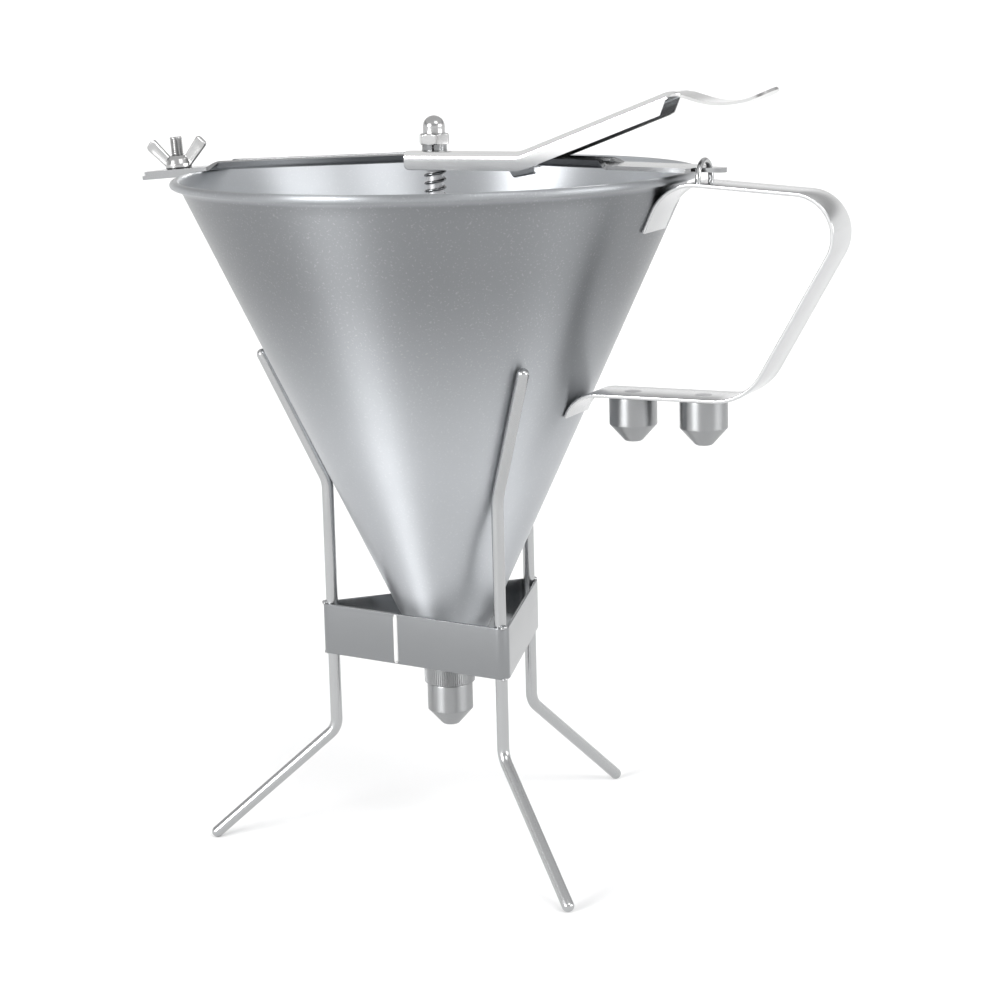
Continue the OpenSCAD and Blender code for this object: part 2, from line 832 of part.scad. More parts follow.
module leg(turn) {
    color("silver") rotate(turn) upright() {
        bent(leg_path, [0, leg_bend, rest_bend, 0]) {
            circle(r = leg_r);
            circle(r = leg_r + swell);
        }
        round_end(leg_path[0], heading(leg_path[1], leg_path[0]));
        round_end(leg_path[3], heading(leg_path[2], leg_path[3]));
    }
}

module stand_leg_left() {
    leg(left_turn);
}

module stand_leg_front() {
    leg(front_turn);
}

module stand_leg_back() {
    leg(back_turn);
}

band_bend = leg_r + weld_gap + band_t / 2;
leg_turns = [left_turn, front_turn, back_turn];
// Half of the widest turn from one leg to the next
widest = max([for (i = [0:2]) abs(wrap(leg_turns[(i + 1) % 3] - leg_turns[i]))]) / 2;
// The cone is nearest to the band on that side
band_top = cone_z(upright_r * cos(widest) + band_bend - band_t / 2 - band_gap);
leg_spots = [for (a = leg_turns) upright_r * [cos(a), sin(a)]];

function outward(a, b) = let (way = unit(b - a)) [way.y, -way.x];
// Corner of the band's centreline outside leg i
function band_corner(i) =
    let (
        before = outward(leg_spots[(i + 2) % 3], leg_spots[i]),
        after = outward(leg_spots[i], leg_spots[(i + 1) % 3])
    )
        leg_spots[i] + band_bend * (before + after) / (1 + before * after);

module stand_band() {
    left = band_corner(0);
    front = band_corner(1);
    back = band_corner(2);
    way = unit(front - left);
    seam = left + (front - left) * seam_share;
    path = [seam + way * seam_w / 2, front, back, left, seam - way * seam_w / 2];
    color("silver") translate([0, 0, band_top - band_h / 2])
        bent_strip(path, [0, band_bend, band_bend, band_bend, 0], band_t, band_h);
}

funnel_cone();
outlet_collar();
handle_strip();
nozzle_studs();
bridge_staple();
nozzle_fitted();
nozzle_spare_inner();
nozzle_spare_outer();
rim_tab();
clamp_stud();
wing_nut();
bridge();
lever();
valve_rod();
valve_plug();
spring_collar();
return_spring();
lock_washer();
cap_nut();
stand_leg_left();
stand_leg_front();
stand_leg_back();
stand_band();
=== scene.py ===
import math

import bmesh
import bpy
import numpy as np
from bpy.props import FloatProperty, FloatVectorProperty, IntProperty, PointerProperty
from mathutils import Matrix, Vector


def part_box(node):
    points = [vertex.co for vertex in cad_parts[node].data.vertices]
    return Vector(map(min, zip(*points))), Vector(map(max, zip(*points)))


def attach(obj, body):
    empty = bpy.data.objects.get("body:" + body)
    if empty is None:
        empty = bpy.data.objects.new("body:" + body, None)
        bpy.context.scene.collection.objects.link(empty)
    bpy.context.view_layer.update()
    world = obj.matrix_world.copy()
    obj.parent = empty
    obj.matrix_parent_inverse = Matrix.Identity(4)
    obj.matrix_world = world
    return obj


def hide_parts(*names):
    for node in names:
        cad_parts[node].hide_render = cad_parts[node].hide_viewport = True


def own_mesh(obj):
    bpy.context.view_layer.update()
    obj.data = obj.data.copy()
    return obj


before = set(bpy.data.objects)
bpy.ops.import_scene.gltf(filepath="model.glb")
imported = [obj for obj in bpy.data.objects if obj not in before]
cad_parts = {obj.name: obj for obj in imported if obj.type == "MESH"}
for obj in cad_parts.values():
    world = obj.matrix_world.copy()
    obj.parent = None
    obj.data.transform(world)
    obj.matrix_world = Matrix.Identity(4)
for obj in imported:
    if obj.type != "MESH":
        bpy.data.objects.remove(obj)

bl_info = {
    "name": "Batter funnel",
    "version": (1, 0, 0),
    "blender": (4, 5, 0),
    "location": "3D View > Sidebar > Batter funnel",
    "description": "Builds the smooth steel pieces, threads, welds and light of a batter funnel",
    "category": "Object",
}

MM = 0.001
TAU = 2 * math.pi


# ---- Sizes that several pieces share, in millimetres, as the solids have them ----

RIM_R = 95.0
RIM_Z = 249.5
BEAD_R = 1.35
BEAD_W = 3.6
BEAD_MID = RIM_R - BEAD_R
CONE = math.radians(24.8)
SHEET = 0.8
WALL = SHEET / math.cos(CONE)
POINT_Z = RIM_Z - BEAD_R - (RIM_R - BEAD_W) / math.tan(CONE)
FIT = 0.05

STRIP_T = 1.3
STRIP_W = 20.0
ARM_DROP = 0.75
ARM_FALL = math.tan(math.radians(4.1))
LOWER_DROP = 75.3
STRIP_UNDER = RIM_Z - LOWER_DROP - STRIP_T / 2
SPARE_X = (75.6, 102.1)
STAPLE_REACH = 8.0

BRIDGE_T = 1.5
UNDER_Z = RIM_Z + 5.0
TILT = math.radians(4.5)
STUD_X = -108.0
LEVER_Z = UNDER_Z + 4.4


def cone_r(z):
    """Outside radius of the cone at height z"""
    return (z - POINT_Z) * math.tan(CONE)


def cone_z(r):
    """Height at which the cone has outside radius r"""
    return POINT_Z + r / math.tan(CONE)


def clamp_z(x):
    """Height of the bridge's underside at distance x on its clamped end"""
    return RIM_Z + (BEAD_R + FIT) / math.cos(TILT) + (x + BEAD_MID) * math.tan(TILT)


COLLAR_R = 9.5
COLLAR_TOP = cone_z(COLLAR_R) - 1
COLLAR_LOW = COLLAR_TOP - 8.7
SHEET_LOW = COLLAR_LOW + 5.2
OUTLET_R = 4.0
OUTLET_TOP = POINT_Z + 10.5
SPIGOT_R = 5.95
SPIGOT_L = 9.0


# ---- Lines and surfaces ----


def unit(v):
    """v at length 1"""
    return v / np.linalg.norm(v)


def toward(angle):
    """Direction of length 1 in a plane, at an angle from its first axis"""
    return np.array([math.cos(angle), math.sin(angle)])


def smooth(t):
    """0 before 0, 1 after 1, and 3t^2 - 2t^3 between"""
    t = np.clip(t, 0, 1)
    return t * t * (3 - 2 * t)


def rounded(points, radii, steps=8, closed=False):
    """The line through the points with a true arc at each corner: centre + radius * (cos a, sin a).
    Gives the places and the unit directions along the line, one row each."""
    pts = [np.array(p, float) for p in points]
    if np.isscalar(radii):
        radii = [radii] * len(pts)
    places, ways = [], []
    corners = range(len(pts)) if closed else range(1, len(pts) - 1)
    if not closed:
        places.append([pts[0]])
        ways.append([unit(pts[1] - pts[0])])
    for i in corners:
        a = unit(pts[i] - pts[i - 1])
        b = unit(pts[(i + 1) % len(pts)] - pts[i])
        turn = math.atan2(a[0] * b[1] - a[1] * b[0], a @ b)
        r = max(radii[i], 1e-6)
        if abs(turn) < 1e-6:
            places.append([pts[i]])
            ways.append([a])
            continue
        side = math.copysign(1, turn)
        start = pts[i] - a * r * math.tan(abs(turn) / 2)
        centre = start + side * r * np.array([-a[1], a[0]])
        t = np.linspace(0, turn, steps + 1)
        c, s = np.cos(t), np.sin(t)
        out, way = start - centre, a
        places.append(centre + np.stack([c * out[0] - s * out[1], s * out[0] + c * out[1]], 1))
        ways.append(np.stack([c * way[0] - s * way[1], s * way[0] + c * way[1]], 1))
    if not closed:
        places.append([pts[-1]])
        ways.append([unit(pts[-1] - pts[-2])])
    return np.concatenate(places), np.concatenate(ways)


def distances(places):
    """How far each place lies from the first one, along the line"""
    return np.concatenate([[0], np.cumsum(np.linalg.norm(np.diff(places, axis=0), axis=1))])


def filled(places, ways, step):
    """The same line with points put in, so that no two are further apart than step"""
    s = distances(places)
    counts = [max(1, math.ceil(gap / step)) for gap in np.diff(s)]
    parts = [np.linspace(a, b, n + 1)[:-1] for a, b, n in zip(s[:-1], s[1:], counts)]
    t = np.concatenate([*parts, [s[-1]]])
    at = np.stack([np.interp(t, s, column) for column in places.T], 1)
    to = np.stack([np.interp(t, s, column) for column in ways.T], 1)
    return at, to / np.linalg.norm(to, axis=1)[:, None]


def grid_faces(rows, cols, wrap_rows=False, wrap_cols=False):
    """Corner numbers of the four-sided faces of a grid of rows by cols points"""
    i = np.arange(rows if wrap_rows else rows - 1)[:, None]
    j = np.arange(cols if wrap_cols else cols - 1)[None, :]
    k, l = (i + 1) % rows, (j + 1) % cols
    return np.stack([i * cols + j, i * cols + l, k * cols + l, k * cols + j], -1).reshape(-1, 4)


def tube_faces(rows, cols):
    """Faces of a tube of rows rings of cols points each, with a flat face at either end"""
    ends = [list(range(cols))[::-1], list(range((rows - 1) * cols, rows * cols))]
    return grid_faces(rows, cols, wrap_cols=True).tolist() + ends


def lathe(profile, sides, at=(0, 0), shift=None):
    """Surface of revolution: (x + (r + shift) cos a, y + (r + shift) sin a, z) for each (r, z) of the profile
    and sides angles a. shift, if given, is the change of r as a function of r, z and a. The profile closes on
    itself, unless it starts and ends on the axis."""
    r, z = np.array(profile, float).T[:, :, None]
    a = np.arange(sides)[None, :] / sides * TAU
    out = r + shift(r, z, a) if shift else r
    grid = np.stack(np.broadcast_arrays(at[0] + out * np.cos(a), at[1] + out * np.sin(a), z), -1)
    faces = grid_faces(len(r), sides, wrap_cols=True, wrap_rows=r[0, 0] > 1e-6)
    return grid.reshape(-1, 3), faces.tolist()


def carried(section, places, ways, plane):
    """Solid with the closed section (a, b) carried along a line in a plane: place + a * square + b * across.
    plane gives the two axes of the line's plane and the axis across it; the ends are closed flat."""
    first, second, across = (np.array(v, float) for v in plane)
    at = places[:, :1] * first + places[:, 1:] * second
    square = -ways[:, 1:] * first + ways[:, :1] * second
    grid = at[:, None] + section[None, :, :1] * square[:, None] + section[None, :, 1:] * across
    return grid.reshape(-1, 3), tube_faces(*grid.shape[:2])


def box_section(t, w, r, steps=3):
    """Outline of a bar of thickness t and width w with corners of radius r"""
    corners = [(-t / 2, -w / 2), (t / 2, -w / 2), (t / 2, w / 2), (-t / 2, w / 2)]
    return rounded(corners, r, steps, closed=True)[0]


def wire(places, radius, sides=24, ends=True):
    """Round wire along points in space: place + radius * (cos a * one + sin a * other), where one and other
    are square to the line and turn as little as they can. Its ends are half round, or flat without ends."""
    p = np.array(places, float)
    way = np.gradient(p, axis=0)
    way /= np.linalg.norm(way, axis=1)[:, None]
    one = np.zeros_like(p)
    side = np.cross(way[0], [0, 0, 1] if abs(way[0][2]) < 0.9 else [1, 0, 0])
    for i, w in enumerate(way):
        side = unit(side - (side @ w) * w)
        one[i] = side
    r = np.full(len(p), radius)
    if ends:
        rings = 7
        t = np.linspace(0, np.pi / 2, rings)
        back = radius * np.cos(t)[:, None]
        head = p[0] - way[0] * back + way[0] * radius
        tail = p[-1] + way[-1] * back[::-1] - way[-1] * radius
        p = np.concatenate([head, p[1:-1], tail])
        way, one = (
            np.concatenate([v[:1].repeat(rings, 0), v[1:-1], v[-1:].repeat(rings, 0)]) for v in (way, one)
        )
        r = np.concatenate([radius * np.sin(t), r[1:-1], radius * np.sin(t[::-1])])
    other = np.cross(way, one)
    a = np.arange(sides) / sides * TAU
    ring = np.cos(a)[None, :, None] * one[:, None] + np.sin(a)[None, :, None] * other[:, None]
    grid = p[:, None] + r[:, None, None] * ring
    faces = grid_faces(len(p), sides, wrap_cols=True).tolist() if ends else tube_faces(len(p), sides)
    return grid.reshape(-1, 3), faces


def joined(*shapes):
    """Several shapes as one list of points and one of faces"""
    points, faces, first = [], [], 0
    for p, f in shapes:
        points.append(p)
        faces += [[first + k for k in face] for face in f]
        first += len(p)
    return np.concatenate(points), faces


def turned(shape, angle, at):
    """The shape turned by angle about the Y axis, then moved to at"""
    points, faces = shape
    return points @ np.array(Matrix.Rotation(angle, 3, "Y")).T + np.array(at, float), faces


def sheet(s, v, half, place, hole):
    """Sheet drawn flat and bent up: the point place(s, d) with d = v * half(s), for each s along it and v
    from -1 to 1. hole gives the line start..end on d = 0, the radius of the hole round it, and its reach. Up
    to the reach, a point at distance q from the line moves straight away from it to
    radius + (q - core) * (reach - radius) / (reach - core), with core at half the radius. Faces that touch
    the core are left out, and the points at their edge move to the radius."""
    start, end, radius, reach = hole
    core = radius * 0.5
    ss, vv = np.meshgrid(s, v, indexing="ij")
    dd = vv * half(ss)
    nearest = np.clip(ss, start, end)
    q = np.maximum(np.hypot(ss - nearest, dd), 1e-9)
    faces = grid_faces(len(s), len(v))
    cut = (q < core).ravel()[faces].any(1)
    beside_cut, beside_kept = np.zeros((2, ss.size), bool)
    beside_cut[faces[cut]] = True
    beside_kept[faces[~cut]] = True
    moved = radius + (np.maximum(q, core) - core) * (reach - radius) / (reach - core)
    new = np.where((beside_cut & beside_kept).reshape(ss.shape), radius, np.where(q < reach, moved, q))
    return place((nearest + (ss - nearest) * new / q).ravel(), (dd * new / q).ravel()), faces[~cut].tolist()


# ---- Making an object of a shape ----


def settled(mesh, closed):
    """Merges doubled points, and turns a closed mesh outwards by the sign of its volume"""
    work = bmesh.new()
    work.from_mesh(mesh)
    bmesh.ops.remove_doubles(work, verts=work.verts, dist=2e-7)
    bmesh.ops.dissolve_degenerate(work, edges=work.edges, dist=1e-7)
    loose = [v for v in work.verts if not v.link_faces]
    bmesh.ops.delete(work, geom=loose, context="VERTS")
    if closed:
        bmesh.ops.recalc_face_normals(work, faces=work.faces)
        if work.calc_volume(signed=True) < 0:
            bmesh.ops.reverse_faces(work, faces=work.faces)
    work.to_mesh(mesh)
    work.free()


def put(name, shape, body, stands_for, material, closed=True, sharp=38, wall=0, edge=0):
    """Makes the object of a shape given in millimetres, and seats it on its body. Edges that turn by more
    than sharp degrees stay sharp. wall is the thickness that an open sheet gets, half on each side, and edge
    is the width of the bevel on its sharp edges."""
    points, faces = shape
    mesh = bpy.data.meshes.new(name)
    mesh.from_pydata((points * MM).tolist(), [], faces)
    settled(mesh, closed)
    mesh.polygons.foreach_set("use_smooth", np.ones(len(mesh.polygons), bool))
    mesh.set_sharp_from_angle(angle=math.radians(sharp))
    mesh.update()
    mesh.materials.append(material)
    piece = bpy.data.objects.new(name, mesh)
    bpy.context.scene.collection.objects.link(piece)
    if wall:
        solid = piece.modifiers.new("Wall", "SOLIDIFY")
        solid.thickness = wall * MM
        solid.offset = 0
        solid.use_even_offset = True
    if edge:
        bevel = piece.modifiers.new("Edge", "BEVEL")
        bevel.width = edge * MM
        bevel.segments = 2
        bevel.limit_method = "ANGLE"
        bevel.angle_limit = math.radians(42)
    if wall or edge:
        weight = piece.modifiers.new("Flat faces", "WEIGHTED_NORMAL")
        weight.keep_sharp = True
    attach(piece, body)
    if stands_for:
        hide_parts(*stands_for)
    return piece


# ---- Materials ----


class Flow:
    """The output of a node. Sums with it add Math nodes."""

    def __init__(self, paint, socket):
        self.paint, self.socket = paint, socket

    def __add__(self, other):
        return self.paint.maths("ADD", self, other)

    def __radd__(self, other):
        return self.paint.maths("ADD", other, self)

    def __sub__(self, other):
        return self.paint.maths("SUBTRACT", self, other)

    def __rsub__(self, other):
        return self.paint.maths("SUBTRACT", other, self)

    def __mul__(self, other):
        return self.paint.maths("MULTIPLY", self, other)

    def __rmul__(self, other):
        return self.paint.maths("MULTIPLY", other, self)


class Paint:
    """The nodes of a material, or of the room's light"""

    def __init__(self, holder):
        self.holder = holder
        holder.use_nodes = True
        self.tree = holder.node_tree
        self.tree.nodes.clear()

    def node(self, kind, settings=None, sockets=None, out=0):
        """Adds a node, sets its settings, then its sockets' values or links, and gives one of its outputs"""
        node = self.tree.nodes.new(kind)
        for key, value in (settings or {}).items():
            setattr(node, key, value)
        for key, value in (sockets or {}).items():
            if isinstance(value, Flow):
                self.tree.links.new(value.socket, node.inputs[key])
            else:
                node.inputs[key].default_value = value
        return Flow(self, node.outputs[out]) if len(node.outputs) else None

    def maths(self, operation, first, second=0.0):
        """One Math node"""
        return self.node("ShaderNodeMath", {"operation": operation}, {0: first, 1: second})

    def xyz(self, output="Object"):
        """The three coordinates of a point on the piece, or of a direction in the room"""
        where = self.node("ShaderNodeTexCoord", out=output)
        return [self.node("ShaderNodeSeparateXYZ", None, {"Vector": where}, out=k) for k in range(3)]

    def grain(self, scale, detail=3.0, rough=0.55, lie=(1, 1, 1)):
        """Noise from 0 to 1, drawn out along the axes where lie is small"""
        where = self.node("ShaderNodeTexCoord", out="Object")
        where = self.node("ShaderNodeMapping", None, {"Vector": where, "Scale": lie})
        sockets = {"Vector": where, "Scale": scale, "Detail": detail, "Roughness": rough}
        return self.node("ShaderNodeTexNoise", {"noise_dimensions": "3D"}, sockets)

    def blend(self, share, low, high):
        """Colour between low and high"""
        return self.node("ShaderNodeMix", {"data_type": "RGBA"}, {0: share, 6: low, 7: high}, out=2)

    def ramp(self, value, start, end, level=1.0, rise="SMOOTHSTEP"):
        """0 before start and level after end, with a smooth or a straight rise between them"""
        return self.node(
            "ShaderNodeMapRange", {"interpolation_type": rise},
            {"Value": value, "From Min": start, "From Max": end, "To Min": 0.0, "To Max": level},
        )

    def dent(self, height, strength, depth):
        """Bump from a height of 0 to 1 that stands for depth in millimetres"""
        sockets = {"Height": height, "Strength": strength, "Distance": depth * MM}
        return self.node("ShaderNodeBump", None, sockets)

    def done(self, shader, sockets, output="ShaderNodeOutputMaterial"):
        """Adds the shader and the output, and gives the material or the room's light"""
        self.node(output, None, {"Surface": self.node(shader, None, sockets)})
        return self.holder


def rgba(colour, level=1.0):
    """Colour with four parts, made lighter or darker by a level"""
    return (*[min(1.0, c * level) for c in colour], 1.0)


def steel_finish(
    name, colour, rough, lie, lines, depth, cloud=0.06, aniso=0.0, turn=0.0, spark=0.0, painted_light=None
):
    """A stainless steel: a slow cloud in its tone, fine lines that lie along the work, and tiny grains. lie
    is small along the lines. lines is how many of the marks come to a metre, and depth is how deep they are
    in millimetres. spark is how white the scattered specks are. painted_light, if given, makes the flow
    that the colour is multiplied by: light and shade painted into the colour."""
    paint = Paint(bpy.data.materials.new(name))
    slow = paint.grain(38.0, detail=2.0)
    marks = paint.grain(lines, detail=2.0, rough=0.6, lie=lie)
    grit = paint.grain(5200.0, detail=1.0)
    tone = slow * 0.5 + marks * 0.35 + grit * 0.15
    base = paint.blend(tone, rgba(colour, 1 - cloud), rgba(colour, 1 + cloud))
    roughness = (rough - 0.05) + marks * 0.06 + slow * (0.06 if spark else 0.05)
    # The colour is multiplied by painted light and shade
    if painted_light:
        level = paint.node("ShaderNodeCombineXYZ", None, dict.fromkeys(range(3), painted_light(paint)))
        base = paint.node("ShaderNodeVectorMath", {"operation": "MULTIPLY"}, {0: base, 1: level})
    if spark:
        speck = paint.ramp(paint.grain(1500.0, detail=0.0), 0.66, 0.78, spark, "LINEAR")
        base = paint.blend(speck, base, rgba((1, 1, 1)))
        roughness = roughness - speck * 0.1
    bump = paint.dent(marks * 0.8 + grit * 0.2, 0.6, depth)
    return paint.done("ShaderNodeBsdfPrincipled", {
        "Base Color": base, "Roughness": roughness, "Metallic": 1.0, "Normal": bump,
        "Anisotropic": aniso, "Anisotropic Rotation": turn,
    })


# ---- Settings ----


def tint(name, text, default):
    """A colour that can be picked"""
    return FloatVectorProperty(
        name=name, description=text, default=default, min=0, max=1, size=3, subtype="COLOR"
    )


def factor(name, text, default, low, high):
    """A share or a multiple between two bounds"""
    return FloatProperty(name=name, description=text, default=default, min=low, max=high, subtype="FACTOR")


def length(name, text, default, low, high):
    """A length in metres between two bounds"""
    return FloatProperty(name=name, description=text, default=default, min=low, max=high, unit="LENGTH")


def strength(name, text, default):
    """A strength of light"""
    return FloatProperty(name=name, description=text, default=default, min=0)


class SteelSettings(bpy.types.PropertyGroup):
    """Colours and finishes of the steel"""

    funnel_colour: tint("Funnel", "Colour of the spun funnel's steel", (0.24, 0.248, 0.258))
    # The next two multiples paint light into the funnel: a painted reflection on its lower end, and a
    # brighter inside
    funnel_low_painted_sheen: factor("Funnel at the outlet", "Tone of the funnel's lower end, as a multiple", 2.0, 0.5, 2.5)
    funnel_inside_painted_light: factor("Funnel inside", "Tone of the funnel's inside, as a multiple", 2.2, 0.5, 3.0)
    funnel_rough: factor("Funnel roughness", "Roughness of the spun funnel", 0.45, 0.05, 0.8)
    strip_colour: tint("Strip", "Colour of the polished strips", (0.57, 0.575, 0.58))
    strip_rough: factor("Strip roughness", "Roughness of the polished strips", 0.2, 0.02, 0.8)
    bridge_colour: tint("Bridge", "Colour of the bridge and the tab under it", (0.3, 0.305, 0.31))
    spring_colour: tint("Spring", "Colour of the return spring", (0.26, 0.265, 0.27))
    lever_colour: tint("Lever", "Colour of the lever's bright steel", (0.8, 0.8, 0.8))
    turned_colour: tint("Turned", "Colour of turned pieces", (0.31, 0.315, 0.32))
    wire_colour: tint("Wire", "Colour of the stand's wires", (0.42, 0.425, 0.43))
    band_colour: tint("Band", "Colour of the stand's band", (0.25, 0.257, 0.264))
    nut_colour: tint("Nuts", "Colour of the nuts", (0.42, 0.42, 0.42))


class ShapeSettings(bpy.types.PropertyGroup):
    """Sizes of the details"""

    edge: length("Edge", "Radius of the strips' edges", 0.00025, 0.00005, 0.0005)
    knurls: IntProperty(
        name="Knurls", description="Number of the collar's ridges", default=72, min=12, max=96
    )
    knurl_depth: length("Knurl depth", "Depth of the collar's ridges", 0.0003, 0.0001, 0.0008)
    pitch: length("Thread pitch", "Pitch of the clamp stud's thread", 0.0008, 0.0004, 0.0015)
    lever_round: length(
        "Lever rounding", "Radius of the lever's long edges at mid sheet", 0.002, 0.0006, 0.003
    )


class StageSettings(bpy.types.PropertyGroup):
    """Floor, light and camera"""

    floor_colour: tint("Floor", "Colour of the floor", (0.95, 0.95, 0.95))
    room: strength("Room", "Strength of the light from all round", 0.48)
    ceiling: strength("Ceiling", "Strength of the light from the upper half of the room", 0.37)
    backdrop: strength("Backdrop", "Strength of the white cloth round the floor", 1.15)
    key: strength("Key light", "Strength of the soft panel on the left", 27.0)
    side: strength("Side light", "Strength of the soft panel on the right", 9.0)
    top: strength("Top light", "Strength of the soft panel above", 5.0)
    lens: FloatProperty(
        name="Lens", description="Focal length of the camera in millimetres", default=88.56, min=20,
        unit="CAMERA",
    )


# ---- Funnel ----


def cone_profile():
    """Outline of the cone's wall with its rolled rim: up the outside, round the roll and down the inside"""
    wall_top, lip_low, lip_r = RIM_Z - 2.2, RIM_Z - 6, 1.3
    roll_from, roll_to = -2.2, 1.45
    up = [(cone_r(h), h) for h in np.linspace(SHEET_LOW, wall_top, 40)]
    turn = np.linspace(roll_from, roll_to, 26)
    roll = np.stack([BEAD_MID + BEAD_R * np.cos(turn), RIM_Z + BEAD_R * np.sin(turn)], 1).tolist()
    corner = (cone_r(RIM_Z + 1.2) - WALL, RIM_Z + BEAD_R)
    lip = rounded([roll[-1], corner, (cone_r(lip_low) - WALL, lip_low)], lip_r)[0].tolist()
    down = [(cone_r(h) - WALL, h) for h in np.linspace(lip_low - 0.5, SHEET_LOW, 40)]
    return up + roll + lip[1:] + down


class BATTER_OT_funnel(bpy.types.Operator):
    """Spins the funnel's cone with its rolled rim"""

    bl_idname = "batter.funnel"
    bl_label = "Funnel"

    def execute(self, context):
        finish = context.scene.batter_steel
        steel = steel_finish(
            "spun_steel", finish.funnel_colour, finish.funnel_rough, lie=(0.06, 0.06, 1), lines=2600.0,
            depth=0.006, aniso=0.85, turn=0.25, spark=0.08, painted_light=self.painted_light,
        )
        put("funnel_shell", lathe(cone_profile(), 360), "funnel", ["funnel_cone"], steel)
        return {"FINISHED"}

    @staticmethod
    def painted_light(paint):
        """Factor on the spun steel's tone that paints light into it: a painted highlight on the rim's bead,
        painted reflection that brightens it towards the outlet, and painted light that makes the inside
        brightest.
        A point is inside when its distance from the axis is less than that of the middle of the wall at its
        height."""
        finish = bpy.context.scene.batter_steel
        x, y, z = paint.xyz()
        # Heights in metres, as Object coordinates are
        # Painted reflection brightens the cone towards the outlet, and a painted highlight brightens the
        # rim's bead
        painted_sheen_from, painted_sheen_to = 0.225, 0.145
        bead_from, bead_to, bead_painted_highlight = 0.246, 0.2478, 0.5
        wall = (z - (POINT_Z + WALL / 2 / math.tan(CONE)) * MM) * math.tan(CONE)
        inside = paint.maths("LESS_THAN", paint.maths("SQRT", x * x + y * y), wall)
        outside = (
            paint.ramp(z, painted_sheen_from, painted_sheen_to, finish.funnel_low_painted_sheen - 1)
            + paint.ramp(z, bead_from, bead_to, bead_painted_highlight) + 1.0
        )
        # The inside is brightened by painted light
        return outside * (1.0 - inside) + inside * finish.funnel_inside_painted_light


def thread(pitch, depth, from_z, to_z, fade=0.8):
    """Change of radius of a right-hand thread: -depth times a wave of z / pitch - a / 360 degrees, which
    fades in above from_z and out below to_z"""
    def change(r, z, a):
        wave = np.abs(((z / pitch - a / TAU) % 1) * 2 - 1)
        share = np.clip((z - from_z) / fade, 0, 1) * np.clip((to_z - z) / fade, 0, 1)
        return -depth * wave * share
    return change


class BATTER_OT_outlet(bpy.types.Operator):
    """Turns the knurled outlet collar and the three nozzles"""

    bl_idname = "batter.outlet"
    bl_label = "Outlet and nozzles"

    def execute(self, context):
        finish, sizes = context.scene.batter_steel, context.scene.batter_shape
        steel = steel_finish(
            "turned_steel", finish.turned_colour, rough=0.34, lie=(0.02, 0.02, 1), lines=3800.0, depth=0.004,
            aniso=0.7, turn=0.25,
        )
        put("knurled_collar", lathe(self.collar(), 720, shift=self.ridges(sizes)), "funnel",
            ["outlet_collar"], steel, sharp=30)
        for name, x, z, bore in (
            ("nozzle_fitted", 0, COLLAR_LOW, 2), ("nozzle_spare_inner", SPARE_X[0], STRIP_UNDER, 1.5),
            ("nozzle_spare_outer", SPARE_X[1], STRIP_UNDER, 2.5),
        ):
            shape = lathe(self.nozzle(z - FIT, bore), 128, (x, 0))
            put(f"{name}_turned", shape, name, [name], steel)
        return {"FINISHED"}

    @staticmethod
    def collar():
        """Outline of the collar: up the spigot and the knurl, down the cone's seat and the outlet's bore"""
        top, low, foot = COLLAR_TOP, COLLAR_LOW, COLLAR_LOW - SPIGOT_L
        crest, weld = COLLAR_R - 0.05, 0.03
        spigot = [(SPIGOT_R, h) for h in np.linspace(foot + 0.3, low - 0.2, 80)]
        rise = [(crest, h) for h in np.linspace(low + 0.6, top - 0.3, 26)]
        return [
            *spigot, (SPIGOT_R, low), (crest - 0.75, low), (crest - 0.35, low + 0.12), (crest, low + 0.5),
            *rise, (crest - 0.1, top - 0.1), (cone_r(top) + weld, top), (cone_r(SHEET_LOW) + weld, SHEET_LOW),
            (cone_r(SHEET_LOW) - WALL, SHEET_LOW), (OUTLET_R, OUTLET_TOP), (OUTLET_R, foot + 0.3),
            (OUTLET_R + 0.2, foot), (SPIGOT_R - 0.35, foot), (SPIGOT_R - 0.05, foot + 0.2),
        ]

    @staticmethod
    def ridges(sizes):
        """Change of the collar's radius: upright grooves in the knurl, as deep as a smoothed wave of the
        angle, and below it the spigot's thread"""
        depth, count = sizes.knurl_depth / MM, sizes.knurls
        turns = thread(
            pitch=1.25, depth=0.55, from_z=COLLAR_LOW - SPIGOT_L + 0.4, to_z=COLLAR_LOW - 0.5
        )

        def change(r, z, a):
            wave = np.abs(((a / TAU * count) % 1) * 2 - 1)
            knurled = np.clip((COLLAR_TOP - 0.4 - z) / 0.5, 0, 1) * (r > 9)
            threaded = (r > 5) & (z < COLLAR_LOW)
            return turns(r, z, a) * threaded - depth * smooth(wave * 1.5 - 0.25) * knurled
        return change

    @staticmethod
    def nozzle(z, bore):
        """Outline of a nozzle whose threaded end faces up at height z"""
        socket_r, outer_r, tip_r, drill = 6.05, 8.5, 3.0, math.radians(51)
        body, tip, thread_end = z - 10.2, z - 16.3, z - 9.4
        corners = [
            (socket_r, z), (outer_r, z), (outer_r, body), (tip_r, tip), (bore, tip),
            (bore, thread_end - (socket_r - bore) / math.tan(drill)), (socket_r, thread_end),
        ]
        line, ways = rounded(corners, [0.05, 0.35, 0.5, 1.3, 0.2, 0.3, 0.3], 6, closed=True)
        line, ways = (np.concatenate([v, v[:1]]) for v in (line, ways))
        return filled(line, ways, 0.8)[0][:-1]


# ---- Handle ----


